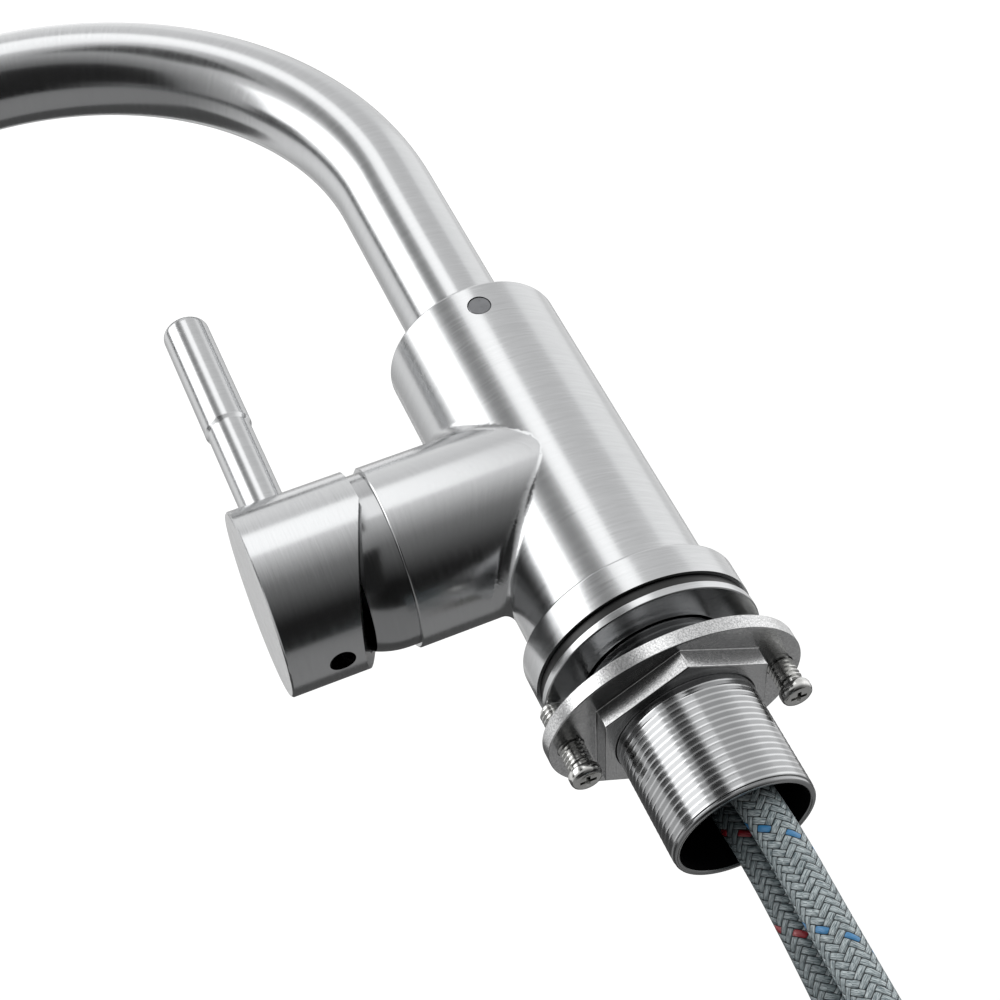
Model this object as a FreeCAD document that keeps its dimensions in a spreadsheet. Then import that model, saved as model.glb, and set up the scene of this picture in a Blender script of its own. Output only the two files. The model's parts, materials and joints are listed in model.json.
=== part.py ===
import FreeCAD, Part
import math
import os

import Sketcher

# Single hole basin faucet: a welded stainless body with a front lever and a swivelling gooseneck.
# Millimetres. +Z is up, -Y is the front, where spout and handle point at rest. The origin is the
# point of the column's axis in the deck's top face, which the rubber gasket rests on.

Vector = FreeCAD.Vector
Rotation = FreeCAD.Rotation
Placement = FreeCAD.Placement

doc = FreeCAD.newDocument("basin_faucet")

# Driving dimensions
SIZES = [
    ("running_fit", 0.05),
    ("seal_fit", 0.05),
    ("free_gap", 0.35),
    ("cut_over", 1.0),
    ("column_dia", 43.0),
    ("column_top", 98.6),
    ("column_edge", 1.0),
    ("weld_fillet", 4.0),
    ("base_ring_step", 3.7),
    ("base_ring_height", 8.0),
    ("base_ring_edge", 0.8),
    ("gasket_inset", 0.9),
    ("gasket_thick", 2.5),
    ("arm_step", 0.3),
    ("arm_height", 48.6),
    ("arm_reach", 41.4),
    ("arm_edge", 0.8),
    ("arm_wall", 3.4),
    ("arm_mouth_step", 1.2),
    ("shank_dia", 32.0),
    ("shank_wall", 1.5),
    ("shank_drop", 44.4),
    ("shank_lip", 2.2),
    ("shank_lip_step", 0.15),
    ("shank_engage", 13.5),
    ("foot_shelf", 2.0),
    ("washer_dia", 50.2),
    ("washer_gap", 0.5),
    ("washer_thick", 2.0),
    ("flange_end", 5.05),
    ("flange_side", 1.95),
    ("flange_thick", 3.6),
    ("flange_below_deck", 9.2),
    ("nut_wall", 5.25),
    ("nut_height", 4.5),
    ("clamp_screw_dia", 5.8),
    ("clamp_screw_length", 16.7),
    ("clamp_screw_spacing", 48.3),
    ("clamp_head_dia", 7.1),
    ("clamp_head_height", 2.7),
    ("tube_dia", 25.0),
    ("tube_wall", 1.2),
    ("spout_rise", 57.3),
    ("bend_radius", 90.0),
    ("outlet_drop", 24.0),
    ("aerator_lip", 5.0),
    ("aerator_edge", 0.4),
    ("aerator_skirt", 8.0),
    ("aerator_wall", 2.0),
    ("aerator_ledge", 1.0),
    ("aerator_insert_height", 7.0),
    ("jet_dia", 1.8),
    ("sleeve_wall", 1.9),
    ("socket_wall", 3.0),
    ("socket_height", 18.0),
    ("socket_ledge", 2.0),
    ("bush_thick", 1.5),
    ("bush_width", 3.0),
    ("sleeve_height", 14.1),
    ("sleeve_tube_depth", 8.2),
    ("o_ring_section", 1.6),
    ("o_ring_pitch", 2.4),
    ("spout_screw_dia", 5.5),
    ("spout_screw_drop", 6.9),
    ("spout_screw_sink", 0.9),
    ("spout_groove_depth", 1.0),
    ("spout_dog_dia", 3.8),
    ("manifold_boss_dia", 24.0),
    ("port_dia", 6.0),
    ("port_edge", 1.2),
    ("outlet_dia", 7.0),
    ("seal_thick", 1.0),
    ("seal_width", 2.0),
    ("nut_sink", 3.4),
    ("cartridge_clearance", 0.3),
    ("cartridge_wall", 2.0),
    ("cartridge_base_thick", 6.0),
    ("disc_thick", 4.0),
    ("disc_inset", 5.0),
    ("mixing_dia", 12.6),
    ("carrier_thick", 4.6),
    ("turret_flange_thick", 2.0),
    ("turret_gap", 0.2),
    ("shoulder_thick", 2.0),
    ("neck_step", 3.3),
    ("neck_wall", 2.0),
    ("neck_length", 9.0),
    ("turret_stand_out", 1.5),
    ("pivot_stand_out", 1.6),
    ("pin_dia", 4.0),
    ("stem_width", 8.0),
    ("stem_height", 7.0),
    ("ball_dia", 4.6),
    ("ball_gap", 0.2),
    ("ball_neck_dia", 3.0),
    ("ball_neck_length", 1.0),
    ("slot_height", 15.0),
    ("ring_nut_stand_out", 4.6),
    ("ring_nut_inset", 1.4),
    ("spanner_slot", 4.0),
    ("dome_step", 1.05),
    ("dome_wall", 1.15),
    ("dome_stand_out", 9.6),
    ("cap_step", 0.1),
    ("cap_gap", 3.7),
    ("cap_length", 26.6),
    ("cap_edge", 0.4),
    ("cap_web", 5.7),
    ("cap_relief_angle", 22.1),
    ("cap_relief_above_axis", 2.0),
    ("hub_dia", 18.0),
    ("hub_length", 17.7),
    ("lever_setback", 9.8),
    ("lever_dia", 11.4),
    ("lever_foot_step", 0.45),
    ("lever_foot_length", 29.9),
    ("lever_length", 64.9),
    ("lever_edge", 2.2),
    ("lever_seat_depth", 0.8),
    ("lever_stud_dia", 6.0),
    ("lever_stud_length", 8.0),
    ("handle_screw_dia", 6.0),
    ("handle_screw_setback", 11.9),
    ("handle_screw_length", 8.0),
    ("hex_key", 3.0),
    ("hose_dia", 9.0),
    ("inlet_thread_dia", 10.0),
    ("inlet_thread_length", 9.0),
    ("inlet_thread_relief", 1.0),
    ("fitting_drop", 2.0),
    ("ferrule_dia", 12.0),
    ("ferrule_length", 20.0),
    ("union_across_flats", 17.0),
    ("union_length", 15.0),
    ("union_bore", 14.2),
    ("union_relief_dia", 14.8),
    ("union_thread_length", 7.0),
    ("union_wall", 2.5),
    ("union_neck_dia", 8.4),
    ("union_collar_dia", 13.2),
    ("union_collar_thick", 2.0),
    ("union_washer_thick", 3.0),
    ("tie_height", 14.0),
    ("tie_thick", 1.4),
]
PORT_ANGLE = math.radians(49.4)


class Length:
    """A size in mm, or an angle in degrees, with the expression that gives it from the sheet."""

    def __init__(self, value, text):
        self.value = value
        self.text = text

    def __add__(self, other):
        other = length(other)
        return Length(self.value + other.value, f"({self.text} + {other.text})")

    def __sub__(self, other):
        other = length(other)
        return Length(self.value - other.value, f"({self.text} - {other.text})")

    def __rsub__(self, other):
        return length(other) - self

    def __mul__(self, factor):
        return Length(self.value * factor, f"({self.text} * {factor})")

    def __truediv__(self, factor):
        return Length(self.value / factor, f"({self.text} / {factor})")

    def __neg__(self):
        return Length(-self.value, f"(-1 * {self.text})")


def length(value):
    """A plain number as a Length."""
    return value if isinstance(value, Length) else Length(float(value), str(float(value)))


class Sizes:
    """The sheet's cells by alias."""


sheet = doc.addObject("Spreadsheet::Sheet", "sizes")
d = Sizes()
for row, (alias, value) in enumerate(SIZES, 1):
    sheet.set(f"A{row}", alias)
    sheet.set(f"B{row}", str(value))
    sheet.setAlias(f"B{row}", alias)
    setattr(d, alias, Length(value, f"sizes.{alias}"))
doc.recompute()

nodes = []
UPRIGHT = Rotation()
FORWARD = Rotation(Vector(1, 0, 0), 90)
RIGHTWARD = Rotation(Vector(0, 1, 0), 90)
ORIGIN = (0, 0, 0)


def bind(thing, name, size):
    thing.setExpression(name, length(size).text)


def place(thing, at, turn=UPRIGHT):
    """Puts an object at a point whose coordinates are bound to the sheet."""
    spot = [length(v) for v in at]
    thing.Placement = Placement(Vector(*(v.value for v in spot)), turn)
    for axis, v in zip("xyz", spot):
        bind(thing, f"Placement.Base.{axis}", v)
    return thing


def cylinder(name, dia, height, at=ORIGIN, turn=UPRIGHT):
    thing = doc.addObject("Part::Cylinder", name)
    bind(thing, "Radius", length(dia) / 2)
    bind(thing, "Height", height)
    return place(thing, at, turn)


def box(name, sides, at):
    """A block centred on a point in X and Y, that rises from it in Z."""
    thing = doc.addObject("Part::Box", name)
    for side, size in zip(("Length", "Width", "Height"), sides):
        bind(thing, side, size)
    return place(thing, (at[0] - length(sides[0]) / 2, at[1] - length(sides[1]) / 2, at[2]))


def ball(name, dia, at):
    thing = doc.addObject("Part::Sphere", name)
    bind(thing, "Radius", length(dia) / 2)
    return place(thing, at)


def torus(name, dia, section, at):
    """A ring of round section whose outer diameter is given."""
    thing = doc.addObject("Part::Torus", name)
    bind(thing, "Radius1", (dia - section) / 2)
    bind(thing, "Radius2", section / 2)
    return place(thing, at)


def prism(name, circle_dia, height, at=ORIGIN, turn=UPRIGHT):
    """A hexagonal bar whose corners lie on a circle, one of them on its own X axis."""
    thing = doc.addObject("Part::Prism", name)
    thing.Polygon = 6
    bind(thing, "Circumradius", length(circle_dia) / 2)
    bind(thing, "Height", height)
    return place(thing, at, turn)


def fuse(name, *things):
    thing = doc.addObject("Part::MultiFuse", name)
    thing.Shapes = list(things)
    thing.Refine = True
    return thing


def common(name, *things):
    thing = doc.addObject("Part::MultiCommon", name)
    thing.Shapes = list(things)
    return thing


def cut(name, base, *tools):
    thing = doc.addObject("Part::Cut", name)
    thing.Base = base
    thing.Tool = tools[0] if len(tools) == 1 else fuse(name + "_tools", *tools)
    thing.Refine = True
    return thing


def ring(name, outer, inner, height, at=ORIGIN, turn=UPRIGHT):
    return cut(
        name,
        cylinder(name + "_outside", outer, height, at, turn),
        cylinder(name + "_inside", inner, height, at, turn),
    )


def plane_of(body, role):
    return next(f for f in body.Origin.OriginFeatures if f.Role == role)


def sketch_on(body, name, role):
    sketch = body.newObject("Sketcher::SketchObject", name)
    sketch.AttachmentSupport = [(plane_of(body, role), "")]
    sketch.MapMode = "FlatFace"
    return sketch


def pin_point(sketch, edge, end, across, up):
    """Holds one end of an edge at two bound distances from the sketch's origin."""
    for kind, line, size in (("DistanceX", -2, length(across)), ("DistanceY", -1, length(up))):
        if size.text == "0.0":
            sketch.addConstraint(Sketcher.Constraint("PointOnObject", edge, end, line))
            continue
        at = sketch.addConstraint(Sketcher.Constraint(kind, -1, 1, edge, end, size.value))
        label = f"{kind}_{edge}_{end}"
        sketch.renameConstraint(at, label)
        bind(sketch, f"Constraints.{label}", size)


def outline(sketch, points):
    """A closed outline of straight lines through bound points."""
    spots = [(length(a), length(b)) for a, b in points]
    flat = [Vector(a.value, b.value, 0) for a, b in spots]
    count = len(flat)
    for i in range(count):
        sketch.addGeometry(Part.LineSegment(flat[i], flat[(i + 1) % count]), False)
    for i in range(count):
        sketch.addConstraint(Sketcher.Constraint("Coincident", i, 2, (i + 1) % count, 1))
    for i, (a, b) in enumerate(spots):
        pin_point(sketch, i, 1, a, b)


def turned(name, points, at=ORIGIN, turn=UPRIGHT):
    """A lathe part: a profile of (radius, height) points turned about its own Z axis."""
    body = doc.addObject("PartDesign::Body", name)
    sketch = sketch_on(body, name + "_profile", "XZ_Plane")
    outline(sketch, points)
    solid = body.newObject("PartDesign::Revolution", name + "_turned")
    solid.Profile = sketch
    solid.ReferenceAxis = (sketch, ["V_Axis"])
    solid.Angle = 360
    return place(body, at, turn)


def padded(name, points, role, half, at=ORIGIN):
    """A straight-sided block: an outline on an origin plane, padded to both sides of it."""
    body = doc.addObject("PartDesign::Body", name)
    sketch = sketch_on(body, name + "_outline", role)
    outline(sketch, points)
    pad = body.newObject("PartDesign::Pad", name + "_pad")
    pad.Profile = sketch
    pad.Midplane = True
    bind(pad, "Length", length(half) * 2)
    return place(body, at)


def rounded(name, thing, radius, wanted):
    """Rounds the edges that a test picks out."""
    doc.recompute()
    edges = [i for i, e in enumerate(thing.Shape.Edges, 1) if wanted(e)]
    if not edges:
        raise RuntimeError(f"no edge to round on {name}")
    fillet = doc.addObject("Part::Fillet", name)
    fillet.Base = thing
    fillet.Edges = [(i, radius.value, radius.value) for i in edges]
    return fillet


def bevelled(name, thing, size, wanted):
    """Chamfers the edges that a test picks out."""
    doc.recompute()
    edges = [i for i, e in enumerate(thing.Shape.Edges, 1) if wanted(e)]
    if not edges:
        raise RuntimeError(f"no edge to chamfer on {name}")
    chamfer = doc.addObject("Part::Chamfer", name)
    chamfer.Base = thing
    chamfer.Edges = [(i, size.value, size.value) for i in edges]
    return chamfer


def circle_edge(dia, axis, at):
    """A test for the full circle of one diameter whose centre has one coordinate."""

    def test(edge):
        curve = edge.Curve
        if not isinstance(curve, Part.Circle):
            return False
        centre = (curve.Center.x, curve.Center.y, curve.Center.z)["XYZ".index(axis)]
        return abs(curve.Radius * 2 - dia.value) < 1e-4 and abs(centre - at.value) < 1e-4

    return test


def node(name, thing):
    """Names a finished piece, which is written as one file."""
    thing.Label = name
    nodes.append((name, thing))
    return thing


# Heights and reaches that several pieces share. Reaches run forwards from the column's axis.
column_foot = d.gasket_thick
base_ring_dia = d.column_dia + d.base_ring_step * 2
ring_top = column_foot + d.base_ring_height
shank_bore = d.shank_dia - d.shank_wall * 2
shank_top = column_foot + d.shank_engage
shelf_top = shank_top + d.foot_shelf
foot_bore = d.shank_dia + d.running_fit * 2
hose_spread = shank_bore / 4
deep = d.column_top

arm_dia = d.column_dia - d.arm_step * 2
arm_bore = arm_dia - d.arm_wall * 2
arm_mouth = arm_bore + d.arm_mouth_step * 2

socket_bore = d.tube_dia + d.sleeve_wall * 2
column_bore = socket_bore + d.socket_wall * 2
socket_base = d.column_top - d.socket_height
bush_top = socket_base + d.socket_ledge + d.bush_thick
screw_height = d.column_top - d.spout_screw_drop

nut_seat_out = d.arm_reach - d.nut_sink
shoulder_out = nut_seat_out - d.shoulder_thick
flange_top = shoulder_out - d.turret_gap
turret_out = flange_top - d.turret_flange_thick
carrier_out = turret_out - d.turret_gap - d.carrier_thick
moving_out = carrier_out - d.disc_thick
fixed_out = moving_out - d.disc_thick
base_out = fixed_out - d.cartridge_base_thick
seat_out = base_out - d.seal_thick
pivot_out = d.arm_reach + d.pivot_stand_out

cartridge_dia = arm_bore - d.cartridge_clearance * 2
housing_bore = cartridge_dia - d.cartridge_wall * 2
inner_dia = housing_bore - d.running_fit * 2
port_ring = inner_dia / 2 - d.port_dia / 2 - d.seal_width - d.port_edge
port_offset = port_ring * math.sin(PORT_ANGLE)
port_rise = port_ring * math.cos(PORT_ANGLE)
outlet_rise = inner_dia / 2 - d.outlet_dia / 2 - d.seal_width - d.port_edge

dome_dia = arm_dia - d.dome_step * 2
dome_inside = dome_dia - d.dome_wall * 2
cap_dia = d.column_dia + d.cap_step * 2
cap_rim_out = d.arm_reach + d.cap_gap
cap_face_out = cap_rim_out + d.cap_length


def forward(out, right=0, up=None):
    """A point in front of the column, measured from the arm's axis."""
    rise = d.arm_height if up is None else d.arm_height + up
    return (right, -length(out), rise)


# Welded body: column and arm as one shell, bored from above, below and in front
column_blank = cylinder(
    "column_blank", d.column_dia, d.column_top - column_foot, (0, 0, column_foot)
)
arm_blank = cylinder("arm_blank", arm_dia, d.arm_reach, forward(0), FORWARD)
body_blank = fuse("body_blank", column_blank, arm_blank)


def weld_line(edge):
    """The seam where the arm runs into the column."""
    return edge.Length > arm_dia.value * 2 and not isinstance(edge.Curve, Part.Circle)


welded = rounded("welded_blank", body_blank, d.weld_fillet, weld_line)
softened = rounded(
    "softened_blank", welded, d.column_edge, circle_edge(d.column_dia, "Z", d.column_top)
)
dressed = bevelled(
    "dressed_blank", softened, d.arm_edge, circle_edge(arm_dia, "Y", -d.arm_reach)
)
screw_hole = cylinder(
    "spout_screw_hole", d.spout_screw_dia + d.running_fit * 2, d.column_dia, (0, 0, screw_height), RIGHTWARD
)
node("body_shell", cut(
    "body_shell",
    dressed,
    cylinder("column_bore_cut", column_bore, deep, (0, 0, shelf_top)),
    cylinder("foot_bore_cut", foot_bore, d.shank_engage, (0, 0, column_foot)),
    cylinder("shelf_hole", shank_bore, deep, (0, 0, column_foot)),
    cylinder("arm_bore_cut", arm_bore, deep, forward(0), FORWARD),
    cylinder("arm_mouth_cut", arm_mouth, deep, forward(shoulder_out), FORWARD),
    screw_hole,
))

# Foot: steel ring round the column, rubber gasket under it, threaded shank through both
foot_ring = ring(
    "foot_ring", base_ring_dia, d.column_dia, d.base_ring_height, (0, 0, column_foot)
)
node("base_ring", rounded(
    "base_ring", foot_ring, d.base_ring_edge, circle_edge(base_ring_dia, "Z", ring_top)
))
node("deck_gasket", ring("deck_gasket", base_ring_dia - d.gasket_inset * 2, d.shank_dia, d.gasket_thick))
lip_start = d.shank_lip * 2
shank_length = shank_top + d.shank_drop
node("mounting_shank", turned("mounting_shank", [
    (shank_bore / 2, 0),
    (d.shank_dia / 2 - d.shank_lip_step, 0),
    (d.shank_dia / 2 - d.shank_lip_step, d.shank_lip),
    (d.shank_dia / 2, lip_start),
    (d.shank_dia / 2, shank_length),
    (shank_bore / 2, shank_length),
], (0, 0, -d.shank_drop)))

# Inlet manifold: a drilled plug in the column, with a flat for the cartridge
RISER_SHARE = 0.85
plug = cylinder(
    "manifold_plug", column_bore - d.running_fit * 2, socket_base - shelf_top, (0, 0, shelf_top)
)
boss = cylinder("manifold_boss", d.manifold_boss_dia, seat_out, forward(0), FORWARD)
flat = cylinder("manifold_flat", arm_bore, deep, forward(seat_out), FORWARD)
drillings = [flat]
for side, x in zip(("hot", "cold"), (-1, 1)):
    across = port_offset * x
    drillings += [
        cylinder(f"{side}_inlet", d.inlet_thread_dia + d.running_fit * 2,
                 d.inlet_thread_length + d.inlet_thread_relief, (hose_spread * x, 0, shelf_top)),
        cylinder(f"{side}_riser", d.port_dia * RISER_SHARE, d.arm_height - shelf_top - port_rise,
                 (across, 0, shelf_top)),
        cylinder(f"{side}_port", d.port_dia, seat_out + d.port_dia / 2,
                 forward(-d.port_dia / 2, across, -port_rise), FORWARD),
    ]
drillings += [
    cylinder("mixed_port", d.outlet_dia, seat_out + d.outlet_dia / 2,
             forward(-d.outlet_dia / 2, 0, outlet_rise), FORWARD),
    cylinder("mixed_riser", d.outlet_dia * RISER_SHARE, deep, forward(0, 0, outlet_rise)),
]
node("inlet_manifold", cut("inlet_manifold", fuse("manifold_blank", plug, boss), *drillings))

# Spout socket at the column's top, with its thrust bush and the screw that retains the spout
socket_blank = turned("socket_blank", [
    (socket_bore / 2 - d.bush_width, 0),
    (column_bore / 2 - d.running_fit, 0),
    (column_bore / 2 - d.running_fit, d.socket_height - d.column_edge),
    (socket_bore / 2, d.socket_height - d.column_edge),
    (socket_bore / 2, d.socket_ledge),
    (socket_bore / 2 - d.bush_width, d.socket_ledge),
], (0, 0, socket_base))
socket_screw_hole = cylinder(
    "socket_screw_hole", d.spout_screw_dia + d.running_fit * 2, d.column_dia,
    (0, 0, screw_height), RIGHTWARD,
)
node("spout_socket", cut("spout_socket", socket_blank, socket_screw_hole))
node("swivel_bush", ring(
    "swivel_bush", socket_bore - d.running_fit * 2, socket_bore - d.bush_width * 2,
    d.bush_thick, (0, 0, socket_base + d.socket_ledge),
))
groove_dia = socket_bore - d.running_fit * 4 - d.spout_groove_depth * 2
dog_start = groove_dia / 2 + d.running_fit * 4
screw_start = socket_bore / 2 + d.running_fit * 4
screw_end = d.column_dia / 2 - d.spout_screw_sink
spout_screw = fuse(
    "spout_screw",
    cylinder("spout_screw_dog", d.spout_dog_dia, screw_start - dog_start,
             (dog_start, 0, screw_height), RIGHTWARD),
    cylinder("spout_screw_thread", d.spout_screw_dia, screw_end - screw_start,
             (screw_start, 0, screw_height), RIGHTWARD),
)
node("spout_set_screw", cut(
    "spout_set_screw", spout_screw,
    prism("spout_screw_key", d.hex_key, d.hex_key, (screw_end - d.hex_key / 2, 0, screw_height), RIGHTWARD),
))

# Spout: bent tube, turned swivel sleeve with its seals, aerator in the outlet
tube_foot = bush_top + d.sleeve_height - d.sleeve_tube_depth
spout_body = doc.addObject("PartDesign::Body", "spout_tube")
spine = sketch_on(spout_body, "spout_spine", "YZ_Plane")
top = d.column_top + d.spout_rise
outlet_end = top - d.outlet_drop
spine_points = [
    (length(0), tube_foot),
    (length(0), top),
    (-d.bend_radius * 2, top),
    (-d.bend_radius * 2, outlet_end),
]
flat_points = [Vector(a.value, b.value, 0) for a, b in spine_points]
bend_top = Vector(-d.bend_radius.value, top.value + d.bend_radius.value, 0)
spine.addGeometry(Part.LineSegment(flat_points[0], flat_points[1]), False)
spine.addGeometry(Part.Arc(flat_points[1], bend_top, flat_points[2]), False)
spine.addGeometry(Part.LineSegment(flat_points[2], flat_points[3]), False)
spine.addConstraint(Sketcher.Constraint("Coincident", 0, 2, 1, 1))
spine.addConstraint(Sketcher.Constraint("Coincident", 1, 2, 2, 1))
pin_point(spine, 0, 1, *spine_points[0])
pin_point(spine, 0, 2, *spine_points[1])
pin_point(spine, 2, 1, *spine_points[2])
pin_point(spine, 2, 2, *spine_points[3])
centre_level = spine.addConstraint(Sketcher.Constraint("DistanceY", -1, 1, 1, 3, top.value))
spine.renameConstraint(centre_level, "bend_centre_level")
bind(spine, "Constraints.bend_centre_level", top)
section = sketch_on(spout_body, "spout_section", "XY_Plane")
bind(section, "AttachmentOffset.Base.z", tube_foot)
for i, radius in enumerate((d.tube_dia / 2, d.tube_dia / 2 - d.tube_wall)):
    section.addGeometry(Part.Circle(Vector(), Vector(0, 0, 1), radius.value), False)
    section.addConstraint(Sketcher.Constraint("Coincident", i, 3, -1, 1))
    at = section.addConstraint(Sketcher.Constraint("Radius", i, radius.value))
    section.renameConstraint(at, f"radius_{i}")
    bind(section, f"Constraints.radius_{i}", radius)
doc.recompute()
pipe = spout_body.newObject("PartDesign::AdditivePipe", "spout_bend")
pipe.Profile = section
pipe.Spine = spine
node("spout_tube", spout_body)

sleeve_dia = socket_bore - d.running_fit * 4
o_ring_dia = socket_bore - d.seal_fit * 2
o_ring_seat = o_ring_dia - d.o_ring_section * 2 - d.running_fit * 2
first_o_ring = d.o_ring_section
groove_half = d.spout_dog_dia / 2 + d.running_fit * 4
screw_rise = screw_height - bush_top
sleeve_profile = [(d.tube_dia / 2 - d.tube_wall, 0), (sleeve_dia / 2, 0)]
for i in range(2):
    low = first_o_ring - d.o_ring_section / 2 - d.running_fit + d.o_ring_pitch * i
    high = low + d.o_ring_section + d.running_fit * 2
    sleeve_profile += [
        (sleeve_dia / 2, low),
        (o_ring_seat / 2, low),
        (o_ring_seat / 2, high),
        (sleeve_dia / 2, high),
    ]
sleeve_profile += [
    (sleeve_dia / 2, screw_rise - groove_half),
    (groove_dia / 2, screw_rise - groove_half),
    (groove_dia / 2, screw_rise + groove_half),
    (sleeve_dia / 2, screw_rise + groove_half),
    (sleeve_dia / 2, d.sleeve_height),
    (d.tube_dia / 2, d.sleeve_height),
    (d.tube_dia / 2, d.sleeve_height - d.sleeve_tube_depth),
    (d.tube_dia / 2 - d.tube_wall, d.sleeve_height - d.sleeve_tube_depth),
]
node("spout_sleeve", turned("spout_sleeve", sleeve_profile, (0, 0, bush_top)))
o_rings = [
    torus(f"spout_o_ring_{i}", o_ring_dia, d.o_ring_section,
          (0, 0, bush_top + first_o_ring + d.o_ring_pitch * i))
    for i in range(2)
]
seals = doc.addObject("Part::Compound", "spout_o_rings")
seals.Links = o_rings
node("spout_o_rings", seals)

outlet_y = -d.bend_radius * 2
aerator_bore = d.tube_dia - d.tube_wall * 2 - d.aerator_wall * 2
skirt_dia = d.tube_dia - d.tube_wall * 2 - d.running_fit * 2
node("aerator_housing", turned("aerator_housing", [
    (aerator_bore / 2 - d.aerator_ledge, 0),
    (d.tube_dia / 2 - d.aerator_edge, 0),
    (d.tube_dia / 2, d.aerator_edge),
    (d.tube_dia / 2, d.aerator_lip),
    (skirt_dia / 2, d.aerator_lip),
    (skirt_dia / 2, d.aerator_lip + d.aerator_skirt),
    (aerator_bore / 2, d.aerator_lip + d.aerator_skirt),
    (aerator_bore / 2, d.aerator_ledge),
    (aerator_bore / 2 - d.aerator_ledge, d.aerator_ledge),
], (0, outlet_y, outlet_end - d.aerator_lip)))
insert_base = outlet_end - d.aerator_lip + d.aerator_ledge
insert_dia = aerator_bore - d.running_fit * 2
insert_blank = cylinder("insert_blank", insert_dia, d.aerator_insert_height, (0, outlet_y, insert_base))
JETS = [(0, 1, 0.0), (0.34, 6, 0.0), (0.68, 12, 15.0)]
jets = []
for share, count, start in JETS:
    for i in range(count):
        angle = math.radians(start + 360 * i / count)
        reach = insert_dia / 2 * share
        spot = (reach * math.cos(angle), outlet_y + reach * math.sin(angle), insert_base)
        jets.append(cylinder(f"jet_{len(jets)}", d.jet_dia, d.aerator_insert_height, spot))
node("aerator_insert", cut("aerator_insert", insert_blank, *jets))
node("aerator_gasket", ring(
    "aerator_gasket", skirt_dia, aerator_bore - d.tube_wall * 2, d.tube_wall,
    (0, outlet_y, outlet_end + d.aerator_skirt),
))

# Cartridge: seal, base, fixed disc and housing stay still; turret and moving disc turn
neck_dia = cartridge_dia - d.neck_step * 2
neck_bore = neck_dia - d.neck_wall * 2
neck_out = nut_seat_out + d.neck_length


def ported(name, dia, thick, out):
    """A round plate across the arm with the two inlets and the mixed outlet through it."""
    holes = [
        cylinder(f"{name}_{side}", d.port_dia, thick, forward(out, port_offset * x, -port_rise), FORWARD)
        for side, x in (("hot", -1), ("cold", 1))
    ]
    holes.append(
        cylinder(f"{name}_mixed", d.outlet_dia, thick, forward(out, 0, outlet_rise), FORWARD)
    )
    return cut(name, cylinder(name + "_plate", dia, thick, forward(out), FORWARD), *holes)


seal_rings = doc.addObject("Part::Compound", "cartridge_seals")
seal_spots = [(-port_offset, -port_rise, d.port_dia), (port_offset, -port_rise, d.port_dia),
              (length(0), outlet_rise, d.outlet_dia)]
seal_rings.Links = [
    ring(f"port_seal_{i}", bore + d.seal_width * 2, bore, d.seal_thick,
         forward(seat_out, right, up), FORWARD)
    for i, (right, up, bore) in enumerate(seal_spots)
]
node("cartridge_seals", seal_rings)
node("cartridge_base", ported("cartridge_base", inner_dia, d.cartridge_base_thick, base_out))
node("fixed_disc", ported("fixed_disc", inner_dia, d.disc_thick, fixed_out))
node("cartridge_housing", turned("cartridge_housing", [
    (housing_bore / 2, 0),
    (cartridge_dia / 2, 0),
    (cartridge_dia / 2, nut_seat_out - seat_out),
    (neck_dia / 2, nut_seat_out - seat_out),
    (neck_dia / 2, neck_out - seat_out),
    (neck_bore / 2, neck_out - seat_out),
    (neck_bore / 2, shoulder_out - seat_out),
    (housing_bore / 2, shoulder_out - seat_out),
], forward(seat_out), FORWARD))

moving_disc_dia = housing_bore - d.disc_inset * 2

# Moving disc with a mixing hollow, and the carrier that the stem's ball moves
mixing = cylinder("mixing_hollow", d.mixing_dia, d.disc_thick / 2, forward(moving_out), FORWARD)
disc_blank = cylinder("disc_blank", moving_disc_dia, d.disc_thick, forward(moving_out), FORWARD)
node("moving_disc", cut("moving_disc", disc_blank, mixing))
carrier_blank = cylinder("carrier_blank", moving_disc_dia, d.carrier_thick, forward(carrier_out), FORWARD)
ball_hole = cylinder(
    "ball_hole", d.ball_dia + d.running_fit * 4, d.carrier_thick, forward(carrier_out), FORWARD
)
node("disc_carrier", cut("disc_carrier", carrier_blank, ball_hole))

# Turret: turns in the housing for temperature, carries the pin that the stem tilts on
turret_dia = neck_bore - d.running_fit * 2
turret_end = neck_out + d.turret_stand_out
turret_blank = turned("turret_blank", [
    (0, 0),
    (inner_dia / 2, 0),
    (inner_dia / 2, flange_top - turret_out),
    (turret_dia / 2, flange_top - turret_out),
    (turret_dia / 2, turret_end - turret_out),
    (0, turret_end - turret_out),
], forward(turret_out), FORWARD)
slot_width = d.stem_width + d.running_fit * 4
stem_slot = box(
    "stem_slot", (slot_width, d.column_dia * 2, d.slot_height),
    (0, -pivot_out, d.arm_height - d.slot_height / 2),
)
pin_length = turret_dia - d.running_fit * 6
pin_hole = cylinder("pin_hole", d.pin_dia, neck_dia, forward(pivot_out, -neck_dia / 2), RIGHTWARD)
node("turret", cut("turret", turret_blank, stem_slot, pin_hole))
node("stem_pin", cylinder(
    "stem_pin", d.pin_dia, pin_length, forward(pivot_out, -pin_length / 2), RIGHTWARD
))

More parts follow.
